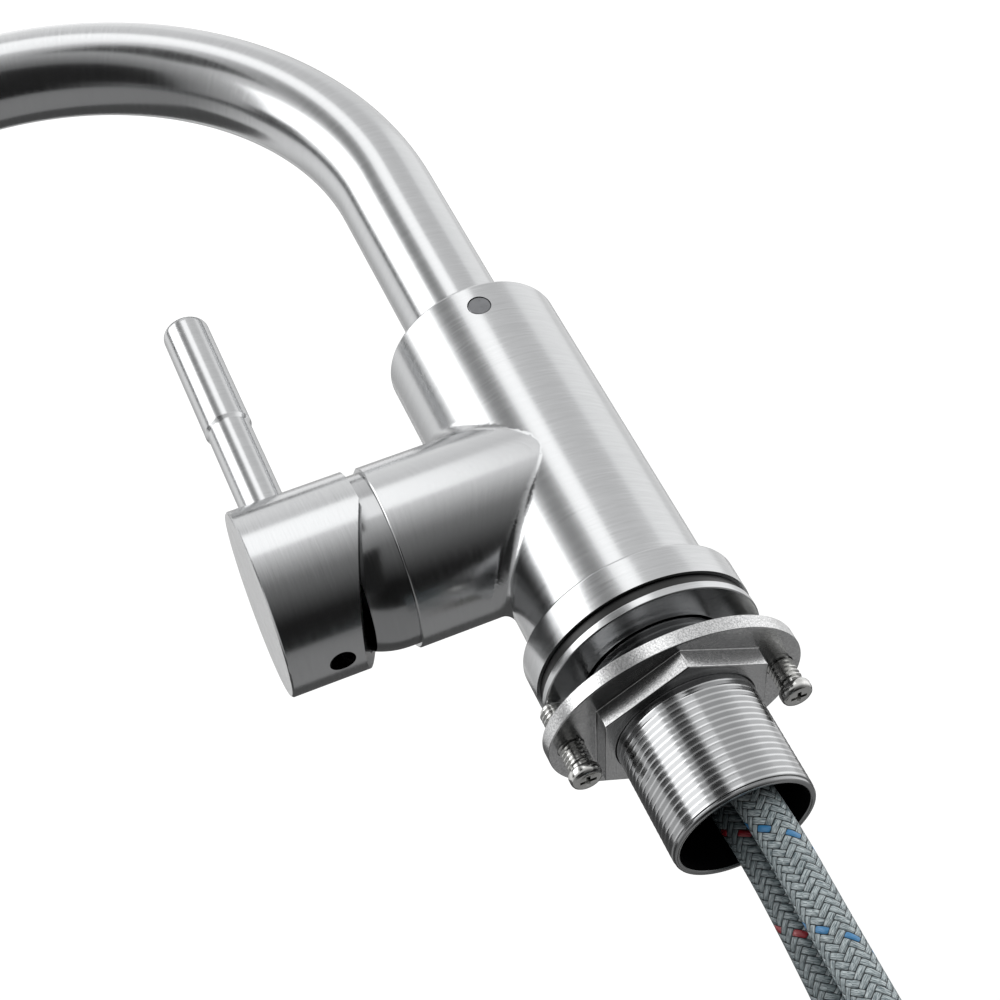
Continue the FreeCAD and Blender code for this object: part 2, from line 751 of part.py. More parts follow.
# Stem: flat bar on the pin, ball on its inner end, handle on its outer end
ball_out = carrier_out + d.ball_dia / 2 + d.ball_gap
bar_start = ball_out + d.ball_dia / 2 + d.ball_neck_length
stem_end_out = cap_face_out - d.cap_web
stem_bar = box(
    "stem_bar", (d.stem_width, stem_end_out - bar_start, d.stem_height),
    (0, -(bar_start + stem_end_out) / 2, d.arm_height - d.stem_height / 2),
)
stem = fuse(
    "stem",
    stem_bar,
    cylinder("ball_neck", d.ball_neck_dia, pivot_out - ball_out, forward(ball_out), FORWARD),
    ball("stem_ball", d.ball_dia, forward(ball_out)),
)
stem_eye = cylinder(
    "stem_eye", d.pin_dia + d.running_fit * 2, d.column_dia,
    forward(pivot_out, -d.column_dia / 2), RIGHTWARD,
)
node("cartridge_stem", cut("cartridge_stem", stem, stem_eye))

# Brass ring nut that holds the cartridge, and the ball-shaped cover over it
ring_nut_out = d.arm_reach + d.ring_nut_stand_out
ring_nut_collar = dome_inside - d.ring_nut_inset * 2
nut_length = ring_nut_out - nut_seat_out
ring_nut_blank = turned("ring_nut_blank", [
    (neck_dia / 2 + d.running_fit * 2, 0),
    (arm_mouth / 2 - d.running_fit, 0),
    (arm_mouth / 2 - d.running_fit, d.arm_reach - nut_seat_out),
    (ring_nut_collar / 2, d.arm_reach - nut_seat_out),
    (ring_nut_collar / 2, nut_length),
    (neck_dia / 2 + d.running_fit * 2, nut_length),
], forward(nut_seat_out), FORWARD)
slots = [
    box("spanner_slot_across", (d.column_dia, d.spanner_slot, d.spanner_slot),
        (0, -ring_nut_out, d.arm_height - d.spanner_slot / 2)),
    box("spanner_slot_upright", (d.spanner_slot, d.spanner_slot, d.column_dia),
        (0, -ring_nut_out, d.arm_height - d.column_dia / 2)),
]
node("retaining_nut", cut("retaining_nut", ring_nut_blank, *slots))
dome_wall = cut(
    "dome_wall",
    fuse("dome_outer", ball("dome_ball", dome_dia, forward(pivot_out)),
         cylinder("dome_skirt", dome_dia, pivot_out - d.arm_reach, forward(d.arm_reach), FORWARD)),
    ball("dome_hollow", dome_inside, forward(pivot_out)),
    cylinder("dome_skirt_hollow", dome_inside, pivot_out, forward(0), FORWARD),
)
dome_slice = cylinder(
    "dome_slice", d.column_dia, d.dome_stand_out, forward(d.arm_reach), FORWARD
)
node("dome_cover", common("dome_cover", dome_wall, dome_slice))

# Handle cap: ball-ended cavity that clears the cover, hub for the stem, rim relieved underneath
cavity_dia = dome_dia + d.free_gap * 2
cap_blank = bevelled(
    "cap_blank_edged",
    cylinder("cap_blank", cap_dia, cap_face_out - cap_rim_out, forward(cap_rim_out), FORWARD),
    d.cap_edge,
    circle_edge(cap_dia, "Y", -cap_face_out),
)
cavity = fuse(
    "cap_cavity",
    cylinder("cavity_bore", cavity_dia, pivot_out, forward(0), FORWARD),
    ball("cavity_ball", cavity_dia, forward(pivot_out)),
    cylinder("cavity_mouth", cavity_dia, cap_rim_out - pivot_out + d.running_fit,
             forward(pivot_out), FORWARD),
)
hub = cylinder(
    "cap_hub", d.hub_dia, d.hub_length - d.cap_edge, forward(cap_face_out - d.hub_length), FORWARD
)
cap_shell = fuse("cap_with_hub", cut("cap_hollow", cap_blank, cavity), hub)
relief_depth = cap_dia / 2 + d.cap_relief_above_axis + d.cut_over
relief_run = Length(
    relief_depth.value * math.tan(math.radians(d.cap_relief_angle.value)),
    f"({relief_depth.text} * tan({d.cap_relief_angle.text} * 1 deg))",
)
relief_top = d.arm_height + d.cap_relief_above_axis
relief = padded("cap_relief", [
    (-cap_rim_out + d.cut_over, relief_top),
    (-cap_rim_out, relief_top),
    (-cap_rim_out - relief_run, relief_top - relief_depth),
    (-cap_rim_out + d.cut_over, relief_top - relief_depth),
], "YZ_Plane", cap_dia)
lever_out = cap_face_out - d.lever_setback
lever_foot_dia = d.lever_dia - d.lever_foot_step * 2
screw_out = cap_face_out - d.handle_screw_setback
lever_seat = d.arm_height + cap_dia / 2 - d.lever_seat_depth
stem_fit = d.running_fit * 2
node("handle_cap", cut(
    "handle_cap",
    cap_shell,
    relief,
    box("stem_socket", (d.stem_width + stem_fit, stem_end_out * 2, d.stem_height + stem_fit),
        (0, 0, d.arm_height - d.stem_height / 2 - d.running_fit)),
    cylinder("lever_spot_face", lever_foot_dia, deep, (0, -lever_out, lever_seat)),
    cylinder("lever_stud_hole", d.lever_stud_dia + stem_fit, d.lever_stud_length,
             (0, -lever_out, lever_seat - d.lever_stud_length)),
    cylinder("handle_screw_hole", d.handle_screw_dia, d.arm_height,
             (0, -screw_out, 0)),
))
lever_blank = turned("lever_blank", [
    (0, 0),
    (d.lever_stud_dia / 2, 0),
    (d.lever_stud_dia / 2, d.lever_stud_length),
    (lever_foot_dia / 2, d.lever_stud_length),
    (lever_foot_dia / 2, d.lever_stud_length + d.lever_foot_length - d.lever_foot_step * 2),
    (d.lever_dia / 2, d.lever_stud_length + d.lever_foot_length),
    (d.lever_dia / 2, d.lever_stud_length + d.lever_length),
    (0, d.lever_stud_length + d.lever_length),
], (0, -lever_out, lever_seat - d.lever_stud_length))
lever_top = circle_edge(d.lever_dia, "Z", lever_seat + d.lever_length)
node("lever_rod", rounded("lever_rod", lever_blank, d.lever_edge, lever_top))
screw_top = d.arm_height - d.stem_height / 2
screw_low = screw_top - d.handle_screw_length
node("handle_set_screw", cut(
    "handle_set_screw",
    cylinder("handle_screw", d.handle_screw_dia - stem_fit, d.handle_screw_length,
             (0, -screw_out, screw_low)),
    prism("handle_screw_key", d.hex_key, d.hex_key, (0, -screw_out, screw_low)),
))

# Deck clamp: washer, oval flange nut with a hexagon under it, two clamp screws
washer_low = -d.washer_thick
node("clamp_washer", ring(
    "clamp_washer", d.washer_dia, d.shank_dia + d.washer_gap * 2, d.washer_thick, (0, 0, washer_low)
))
nut_circle = d.shank_dia + d.nut_wall * 2
flange_low = -d.flange_below_deck - d.flange_thick
oval = doc.addObject("Part::Ellipse", "flange_outline")
bind(oval, "MajorRadius", d.clamp_screw_spacing / 2 + d.flange_end)
bind(oval, "MinorRadius", nut_circle / 2 + d.flange_side)
oval.Placement = Placement(Vector(0, 0, flange_low.value), Rotation(Vector(0, 0, 1), 90))
bind(oval, "Placement.Base.z", flange_low)
plate = doc.addObject("Part::Extrusion", "flange_plate")
plate.Base = oval
plate.Dir = Vector(0, 0, 1)
plate.Solid = True
bind(plate, "LengthFwd", d.flange_thick)
flange_blank = fuse(
    "flange_blank", plate, prism("nut_hexagon", nut_circle, d.nut_height, (0, 0, flange_low - d.nut_height))
)
screw_spots = {"front": -d.clamp_screw_spacing / 2, "rear": d.clamp_screw_spacing / 2}
nut_bore = d.shank_dia + d.running_fit * 2
screw_fit = d.clamp_screw_dia + d.running_fit * 2
node("flange_nut", cut(
    "flange_nut",
    flange_blank,
    cylinder("nut_bore", nut_bore, deep, (0, 0, flange_low - d.nut_height)),
    *[cylinder(f"{side}_screw_hole", screw_fit, d.flange_thick, (0, y, flange_low))
      for side, y in screw_spots.items()],
))
under_head = washer_low - d.clamp_screw_length
for side, y in screw_spots.items():
    head = cylinder(
        f"{side}_head", d.clamp_head_dia, d.clamp_head_height, (0, y, under_head - d.clamp_head_height)
    )
    crowned = rounded(
        f"{side}_head_crowned", head, d.clamp_head_height / 3,
        circle_edge(d.clamp_head_dia, "Z", under_head - d.clamp_head_height),
    )
    thread = cylinder(f"{side}_thread", d.clamp_screw_dia, d.clamp_screw_length, (0, y, under_head))
    node(f"clamp_screw_{side}", fuse(f"clamp_screw_{side}", crowned, thread))

# Supply hoses. Each leaves its inlet fitting inside the shank, hangs out of it, and is folded
# once into a hank. A route's points are chosen by hand, its corners become tangent arcs.
CORNER_SHARE = 0.45
HANK_START = 3
COLD_ROUTE = [
    (7.25, 0.0, -2.0),
    (7.25, 0.0, -20.0),
    (5.2, 4.0, -46.0),
    (5.0, 3.5, -78.0),
    (6.0, 3.4, -120.0),
    (5.2, 7.2, -172.0),
    (6.0, 6.8, -248.0),
    (5.6, 7.4, -273.8),
    (-12.6, 7.4, -292.0),
    (-38.4, 7.0, -292.0),
    (-56.6, 7.0, -273.8),
    (-56.0, 7.6, -248.0),
    (-56.2, 7.2, -172.0),
    (-56.2, 7.2, -114.0),
]
HOT_ROUTE = [
    (-7.25, 0.0, -2.0),
    (-7.25, 0.0, -20.0),
    (-4.3, 1.6, -46.0),
    (-4.4, 0.6, -78.0),
    (-5.6, -2.0, -120.0),
    (-5.0, -4.2, -170.0),
    (-5.6, -3.8, -237.5),
    (-5.2, -4.4, -265.9),
    (-25.3, -4.4, -286.0),
    (-53.7, -4.0, -286.0),
    (-73.8, -4.0, -265.9),
    (-73.4, -4.6, -237.5),
    (-74.0, -4.2, -170.0),
    (-74.0, -4.2, -114.0),
]
ROUTES = {"cold": COLD_ROUTE, "hot": HOT_ROUTE}


def corner(before, point, after):
    """The tangent arc at a corner: where it starts, its middle, where it ends, its radius."""
    back = before - point
    on = after - point
    shorter = min(back.Length, on.Length)
    turn = math.pi - back.getAngle(on)
    reach = CORNER_SHARE * shorter
    radius = reach / math.tan(turn / 2)
    back.normalize()
    on.normalize()
    inwards = (back + on).normalize()
    to_centre = math.hypot(reach, radius)
    middle = point + inwards * (to_centre - radius)
    return point + back * reach, middle, point + on * reach, radius


def route_edges(points):
    """Straight runs joined by tangent arcs, and the arcs' radii."""
    spots = [Vector(*p) for p in points]
    edges = []
    radii = []
    last = spots[0]
    for before, point, after in zip(spots, spots[1:], spots[2:]):
        start, middle, end, radius = corner(before, point, after)
        edges.append(Part.LineSegment(last, start).toShape())
        edges.append(Part.Arc(start, middle, end).toShape())
        radii.append(radius)
        last = end
    edges.append(Part.LineSegment(last, spots[-1]).toShape())
    return edges, radii


def tube_along(edges, dia):
    """A solid round tube on a path of lines and arcs, with its volume checked."""
    path = Part.Wire(edges)
    start = path.Edges[0]
    first = start.FirstParameter
    circle = Part.Circle(start.valueAt(first), start.tangentAt(first), dia / 2)
    shape = path.makePipeShell([Part.Wire([circle.toShape()])], True, False)
    solid = shape if shape.ShapeType == "Solid" else Part.Solid(shape)
    wanted = math.pi * dia * dia / 4 * path.Length
    if abs(solid.Volume - wanted) > 0.01 * wanted:
        raise RuntimeError("the hose's tube lost volume")
    return solid


def least_gap(edges, dia):
    """The least gap from a folded tube to itself, measured on points further apart than a fold."""
    path = Part.Wire(edges)
    points = path.discretize(Distance=dia / 2)
    apart = int(math.pi * dia / (dia / 2))
    pairs = ((p, q) for i, p in enumerate(points) for q in points[i + apart:])
    return min((p - q).Length for p, q in pairs) - dia


def hose_node(name, edges):
    thing = doc.addObject("Part::Feature", name)
    thing.Shape = tube_along(edges, d.hose_dia.value)
    return node(name, thing)


fitting_low = -d.fitting_drop
for side, x in (("cold", 1), ("hot", -1)):
    edges, radii = route_edges(ROUTES[side])
    split = HANK_START * 2
    hose_node(f"{side}_hose", edges[:split])
    hose_node(f"{side}_hose_hank", edges[split:])
    total = Part.Wire(edges).Length
    print(f"{side} hose: {total:.1f} mm long, arc radii", [round(r, 1) for r in radii])
    print(f"{side} hank: least gap to itself {least_gap(edges[split:], d.hose_dia.value):.1f} mm")

    # Inlet fitting: crimped ferrule, hexagon and threaded nipple in the manifold
    spot = hose_spread * x
    inlet = fuse(
        f"{side}_inlet_blank",
        cylinder(f"{side}_ferrule", d.ferrule_dia, shelf_top - fitting_low, (spot, 0, fitting_low)),
        cylinder(f"{side}_nipple", d.inlet_thread_dia, d.inlet_thread_length, (spot, 0, shelf_top)),
    )
    node(f"{side}_inlet_fitting", cut(
        f"{side}_inlet_fitting",
        inlet,
        cylinder(f"{side}_nipple_bore", d.port_dia, d.inlet_thread_length + d.ferrule_length,
                 (spot, 0, shelf_top - d.ferrule_length + d.inlet_thread_length)),
    ))

    # Far end: crimped ferrule with a collared tail, loose union nut and cone washer on it
    end = ROUTES[side][-1]
    low = length(end[2])
    wall_low = low + d.ferrule_length + d.free_gap
    collar = wall_low + d.union_wall + d.free_gap
    tail = turned(f"{side}_hose_tail", [
        (0, 0),
        (d.ferrule_dia / 2, 0),
        (d.ferrule_dia / 2, d.ferrule_length),
        (d.union_neck_dia / 2, d.ferrule_length),
        (d.union_neck_dia / 2, collar - low),
        (d.union_collar_dia / 2, collar - low),
        (d.union_collar_dia / 2, collar - low + d.union_collar_thick),
        (0, collar - low + d.union_collar_thick),
    ], (end[0], end[1], low))
    waterway = cylinder(
        f"{side}_waterway", d.port_dia, d.union_length, (end[0], end[1], low + d.ferrule_length / 2)
    )
    node(f"{side}_hose_tail", cut(f"{side}_hose_tail_bored", tail, waterway))
    corners = d.union_across_flats / math.cos(math.pi / 6)
    relief_length = d.union_length - d.union_wall - d.union_thread_length
    node(f"{side}_union_nut", cut(
        f"{side}_union_nut",
        prism(f"{side}_union_hexagon", corners, d.union_length, (end[0], end[1], wall_low)),
        cylinder(f"{side}_union_back", d.union_neck_dia + d.running_fit * 4, d.union_wall,
                 (end[0], end[1], wall_low)),
        cylinder(f"{side}_union_relief", d.union_relief_dia, relief_length,
                 (end[0], end[1], wall_low + d.union_wall)),
        cylinder(f"{side}_union_thread", d.union_bore, d.union_thread_length,
                 (end[0], end[1], wall_low + d.union_wall + relief_length)),
    ))
    node(f"{side}_union_washer", ring(
        f"{side}_union_washer", d.union_collar_dia, d.port_dia, d.union_washer_thick,
        (end[0], end[1], collar + d.union_collar_thick),
    ))

# Strap round the folded hoses
TIE_LEVEL = -200.0
xs = [p[0] for route in ROUTES.values() for p in route[5:]]
ys = [p[1] for route in ROUTES.values() for p in route[5:]]
snug = d.hose_dia.value / 2 + d.free_gap.value
tie_low = (min(xs) - snug, min(ys) - snug)
tie_high = (max(xs) + snug, max(ys) + snug)


def strap_block(name, grow):
    """A round-cornered block round all four runs."""
    lift = Vector(0, 0, TIE_LEVEL)
    low = Vector(tie_low[0] - grow, tie_low[1] - grow, 0) + lift
    side = Part.makeBox(
        tie_high[0] - tie_low[0] + grow * 2, tie_high[1] - tie_low[1] + grow * 2, d.tie_height.value, low
    )
    upright = [e for e in side.Edges if abs(e.tangentAt(e.FirstParameter).z) > 0.9]
    thing = doc.addObject("Part::Feature", name)
    thing.Shape = side.makeFillet(snug + grow, upright)
    return thing


tie_outside = strap_block("tie_outside", d.tie_thick.value)
tie_inside = strap_block("tie_inside", 0.0)
node("hose_tie", cut("hose_tie", tie_outside, tie_inside))

doc.recompute()

# Nothing is written unless every object is sound
for thing in doc.Objects:
    if "Invalid" in thing.State or "Error" in thing.State:
        raise RuntimeError(f"{thing.Label} failed: {thing.State}")
for name, thing in nodes:
    shape = thing.Shape
    if shape.isNull() or not shape.isValid() or not shape.Solids:
        raise RuntimeError(f"{name} has no sound shape")
os.makedirs("parts", exist_ok=True)
for name, thing in nodes:
    thing.Shape.exportStep(f"parts/{name}.step")
print(f"{len(nodes)} pieces written")
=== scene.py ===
# %% [markdown]
# A single hole bathroom faucet in brushed stainless steel, seen from low down so that the clamp under the
# deck shows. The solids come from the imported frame, in metres, with +Z up and the spout and the handle
# towards -Y. Each cell below dresses one piece: it is modelled over its solid, given its finish, and rides
# on its body.

# %% The frame
import json
import math
from functools import partial

import bmesh
import bpy
from mathutils import Matrix, Vector, kdtree

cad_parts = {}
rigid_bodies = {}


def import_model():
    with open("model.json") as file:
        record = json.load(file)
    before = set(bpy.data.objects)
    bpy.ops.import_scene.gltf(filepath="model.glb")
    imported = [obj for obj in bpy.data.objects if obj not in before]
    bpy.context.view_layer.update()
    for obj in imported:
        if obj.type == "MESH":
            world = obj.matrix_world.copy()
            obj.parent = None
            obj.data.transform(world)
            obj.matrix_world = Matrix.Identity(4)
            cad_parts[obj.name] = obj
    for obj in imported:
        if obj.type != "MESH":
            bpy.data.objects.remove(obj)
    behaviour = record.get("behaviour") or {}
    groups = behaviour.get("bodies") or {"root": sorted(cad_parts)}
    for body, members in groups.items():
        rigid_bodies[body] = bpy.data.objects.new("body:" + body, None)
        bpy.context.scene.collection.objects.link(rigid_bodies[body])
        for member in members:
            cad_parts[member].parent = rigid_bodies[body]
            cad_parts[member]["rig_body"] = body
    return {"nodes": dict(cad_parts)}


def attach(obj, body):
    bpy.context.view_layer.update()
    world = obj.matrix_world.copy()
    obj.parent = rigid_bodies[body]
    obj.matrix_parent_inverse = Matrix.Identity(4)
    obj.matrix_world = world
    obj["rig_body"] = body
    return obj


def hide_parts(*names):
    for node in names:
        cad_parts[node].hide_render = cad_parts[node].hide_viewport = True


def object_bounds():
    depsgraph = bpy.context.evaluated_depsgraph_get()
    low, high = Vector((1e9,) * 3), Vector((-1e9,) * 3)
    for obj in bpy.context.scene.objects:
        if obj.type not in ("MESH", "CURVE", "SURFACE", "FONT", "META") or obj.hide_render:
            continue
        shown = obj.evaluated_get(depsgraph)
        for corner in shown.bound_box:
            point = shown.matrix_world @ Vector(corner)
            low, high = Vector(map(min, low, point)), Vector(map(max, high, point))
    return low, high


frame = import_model()
cad_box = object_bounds()
scene = bpy.context.scene
MM = 0.001

# %% [markdown]
# The camera stands low on the right and looks up at the faucet, slightly rolled. Its place, its three axes
# and its lens were solved from edges whose sizes are known, so it is set by numbers and not by eye.

# %% Camera
CAMERA_PLACE = Vector((359.737, -106.267, -210.937)) * MM
CAMERA_RIGHT = (-0.04562, 0.91977, -0.38980)
CAMERA_UP = (0.61292, 0.33390, 0.71613)
CAMERA_BACK = (0.78883, -0.20625, -0.57897)
SENSOR_WIDTH = 36.0
FOCAL_LENGTH = 72.458


def add_object(name, data):
    """A new object in the scene."""
    thing = bpy.data.objects.new(name, data)
    scene.collection.objects.link(thing)
    return thing


lens = bpy.data.cameras.new("low_camera")
lens.sensor_width = SENSOR_WIDTH
lens.lens = FOCAL_LENGTH
camera = add_object("low_camera", lens)
axes = Matrix((CAMERA_RIGHT, CAMERA_UP, CAMERA_BACK)).transposed()
camera.matrix_world = Matrix.Translation(CAMERA_PLACE) @ axes.to_4x4()
scene.camera = camera
print("camera at", [round(c, 3) for c in camera.location])

# %% [markdown]
# Finishes are written as colour chart values, which are sRGB, while Blender's sockets hold linear light, so
# one function turns one into the other. Another adds a node and feeds its sockets, which keeps every finish
# below short enough to read.

# %% Colour and node helpers
def linear(chart_colour):
    """A hex colour as the linear RGBA that a socket holds."""
    channels = [int(chart_colour[i:i + 2], 16) / 255 for i in (1, 3, 5)]
    light = [c / 12.92 if c <= 0.04045 else ((c + 0.055) / 1.055) ** 2.4 for c in channels]
    return (*light, 1.0)


def feed(node, inputs):
    """Sets a node's sockets, by name or in order; values that are sockets or nodes are linked."""
    named = inputs.items() if isinstance(inputs, dict) else enumerate(inputs)
    for socket, value in named:
        if isinstance(value, bpy.types.Node):
            value = next(output for output in value.outputs if output.enabled)
        if isinstance(value, bpy.types.NodeSocket):
            node.id_data.links.new(value, node.inputs[socket])
        else:
            node.inputs[socket].default_value = value


def add_node(tree, kind, inputs=(), **settings):
    """Adds a node with its own settings, and feeds its sockets."""
    node = tree.nodes.new(kind)
    for name, value in settings.items():
        setattr(node, name, value)
    feed(node, inputs)
    return node


def new_finish(name, constants):
    """A material whose shader holds these constants, with that shader and the helper that adds its nodes."""
    finish = bpy.data.materials.new(name)
    finish.use_nodes = True
    shader = finish.node_tree.nodes["Principled BSDF"]
    feed(shader, constants)
    return finish, shader, partial(add_node, finish.node_tree)


# Kinds of node that most finishes use.
BUMP = "ShaderNodeBump"
COORDS = "ShaderNodeTexCoord"
MATH = "ShaderNodeMath"
MIX = "ShaderNodeMix"
NOISE = "ShaderNodeTexNoise"
RANGE = "ShaderNodeMapRange"

# %% [markdown]
# Every finished piece gets the same last touches: smooth shading that breaks at real edges, its finish, the
# body that it rides on, and the solid that it stands for.
# Most pieces are lathe work, so a spun outline is the other tool that they share.

# %% Finishing a piece
SOLID_WELD_GAP = 0.002 * MM


def mesh_of(name, shape):
    """Turns a bmesh into a mesh; the bmesh is used up."""
    mesh = bpy.data.meshes.new(name)
    shape.to_mesh(mesh)
    shape.free()
    return mesh


def dress(name, shape, body, nodes, finish, crease=35):
    """Turns a bmesh into a piece of the faucet; edges that turn more than crease degrees stay sharp."""
    mesh = mesh_of(name, shape)
    mesh.shade_smooth()
    mesh.set_sharp_from_angle(angle=math.radians(crease))
    piece = add_object(name, mesh)
    mesh.materials.append(finish)
    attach(piece, body)
    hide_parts(*nodes)
    print(name, "has", len(mesh.polygons), "faces")
    return piece


def merged(node):
    """A copy of a solid's triangles with their shared corners joined."""
    shape = bmesh.new()
    shape.from_mesh(frame["nodes"][node].data)
    bmesh.ops.remove_doubles(shape, verts=shape.verts, dist=SOLID_WELD_GAP)
    return shape

# %% Lathe work and soft edges
WELD_GAP = 0.001 * MM
EDGE_SEGMENTS = 3


def soften(shape, width, turn=30):
    """Rounds every edge that turns more than this many degrees, by a width in millimetres."""
    steep = math.radians(turn)
    sharp = [e for e in shape.edges if len(e.link_faces) == 2 and e.calc_face_angle() > steep]
    bmesh.ops.bevel(
        shape, geom=sharp, offset=width * MM, segments=EDGE_SEGMENTS, profile=0.5, affect="EDGES",
        material=-1, clamp_overlap=True)
    return shape


def even_shading(piece):
    """Lets the large flat faces set the shading of the rounded edges round them."""
    even = piece.modifiers.new("even_shading", "WEIGHTED_NORMAL")
    even.mode = "FACE_AREA"
    even.keep_sharp = True


def turned(profile, at=(0, 0, 0), turn=None, closed=True, steps=144, soft=0.0):
    """A lathe shape: (radius, height) points in millimetres, spun about an axis through a point."""
    shape = bmesh.new()
    corners = [shape.verts.new((r * MM, 0, h * MM)) for r, h in profile]
    pairs = list(zip(corners, corners[1:]))
    if closed:
        pairs.append((corners[-1], corners[0]))
    lines = [shape.edges.new(pair) for pair in pairs]
    bmesh.ops.spin(
        shape, geom=corners + lines, cent=(0, 0, 0), axis=(0, 0, 1), angle=2 * math.pi, steps=steps,
        use_merge=True)
    bmesh.ops.remove_doubles(shape, verts=shape.verts, dist=WELD_GAP)
    bmesh.ops.recalc_face_normals(shape, faces=shape.faces)
    if soft:
        soften(shape, soft)
    if turn:
        bmesh.ops.transform(shape, matrix=turn, verts=shape.verts)
    bmesh.ops.translate(shape, vec=Vector(at) * MM, verts=shape.verts)
    return shape

# %% [markdown]
# The supply hoses are rubber tubes in a plaited sleeve. Each follows one smooth spline through the same
# points as its solid: straight out of its fitting, down through the shank, then folded once and strapped.
# The tube is the spline's own bevel turned into a mesh, because its UV map can then carry the plait along
# the whole length.

# %% Hose routes
HOSE_DIA = 9.0
SPLINE_STEPS = 24
COLD_ROUTE = [
    (7.25, 0.0, -2.0), (7.25, 0.0, -20.0), (5.2, 4.0, -46.0), (5.0, 3.5, -78.0), (6.0, 3.4, -120.0),
    (5.2, 7.2, -172.0), (6.0, 6.8, -248.0), (5.6, 7.4, -273.8), (-12.6, 7.4, -292.0), (-38.4, 7.0, -292.0),
    (-56.6, 7.0, -273.8), (-56.0, 7.6, -248.0), (-56.2, 7.2, -172.0), (-56.2, 7.2, -114.0),
]
HOT_ROUTE = [
    (-7.25, 0.0, -2.0), (-7.25, 0.0, -20.0), (-4.3, 1.6, -46.0), (-4.4, 0.6, -78.0), (-5.6, -2.0, -120.0),
    (-5.0, -4.2, -170.0), (-5.6, -3.8, -237.5), (-5.2, -4.4, -265.9), (-25.3, -4.4, -286.0),
    (-53.7, -4.0, -286.0), (-73.8, -4.0, -265.9), (-73.4, -4.6, -237.5), (-74.0, -4.2, -170.0),
    (-74.0, -4.2, -114.0),
]
ROUTES = {"cold": COLD_ROUTE, "hot": HOT_ROUTE}


def hose_spline(name, route):
    """One spline with the route's points as its control points."""
    curve = bpy.data.curves.new(name, "CURVE")
    curve.dimensions = "3D"
    curve.resolution_u = SPLINE_STEPS
    spline = curve.splines.new("NURBS")
    spline.points.add(len(route) - 1)
    for point, spot in zip(spline.points, route):
        point.co = (*[c * MM for c in spot], 1.0)
    spline.order_u = 3
    spline.use_endpoint_u = True
    return curve


def evaluated(thing):
    """A mesh of an object as its bevel or its modifiers leave it."""
    graph = bpy.context.evaluated_depsgraph_get()
    return bpy.data.meshes.new_from_object(thing.evaluated_get(graph), depsgraph=graph)


def curve_mesh(curve):
    """The mesh that Blender makes of a curve: its line, or its tube where it has a bevel."""
    holder = add_object("holder", curve)
    mesh = evaluated(holder)
    bpy.data.objects.remove(holder)
    return mesh

# %% Hose tubes
BEVEL_STEPS = 14


def hose_tube(curve, path):
    """The spline's tube, with U round the hose and V in metres along it, and its length."""
    curve.bevel_depth = HOSE_DIA / 2 * MM
    curve.bevel_resolution = BEVEL_STEPS
    curve.use_fill_caps = True
    shape = bmesh.new()
    shape.from_mesh(curve_mesh(curve))
    bmesh.ops.remove_doubles(shape, verts=shape.verts, dist=WELD_GAP)
    along = [0.0]
    for last, point in zip(path, path[1:]):
        along.append(along[-1] + (point - last).length)
    nearest = kdtree.KDTree(len(path))
    for i, point in enumerate(path):
        nearest.insert(point, i)
    nearest.balance()
    uv = shape.loops.layers.uv.active
    for face in shape.faces:
        for loop in face.loops:
            i = nearest.find(loop.vert.co)[1]
            loop[uv].uv = (loop[uv].uv.y, along[i])
    return shape, along[-1]


hose_paths = {}
hose_shapes = {}
hose_lengths = {}
for side, route in ROUTES.items():
    curve = hose_spline(side + "_hose_line", route)
    hose_paths[side] = [v.co.copy() for v in curve_mesh(curve).vertices]
    hose_shapes[side], hose_lengths[side] = hose_tube(curve, hose_paths[side])
    print(side, "hose:", len(hose_paths[side]), "points,", round(hose_lengths[side], 4), "m")

# %% [markdown]
# The sleeve is a braid of twelve ribbons that wind one way and twelve that wind the other. Each passes over
# two and under two, so short floats lean left and right by turns. The UV map is counted off along both
# windings: the two whole numbers name the ribbons that cross at a spot, and their difference says which of
# them lies on top. One ribbon in twelve is the tracer that tells cold from hot.

# %% Plaited sleeve
PLAIT_PITCH = 1.975 * MM
PLAIT_RELIEF = 0.45 * MM
RIBBONS = 12
REPEAT = 4.0
TOP_HALF = 1.5
RIBBON_FLATNESS = 0.45
FLOAT_FLATNESS = 0.22
FILAMENTS_ACROSS = 10.0
FILAMENTS_ALONG = 1.6
FLOAT_SEED = 37.0
FILAMENT_RELIEF = 0.3
FILAMENT_TONES = (0.38, 0.6)
GAP_EDGE = (0.32, 0.54)
GAP_COLOUR = "#1a2428"


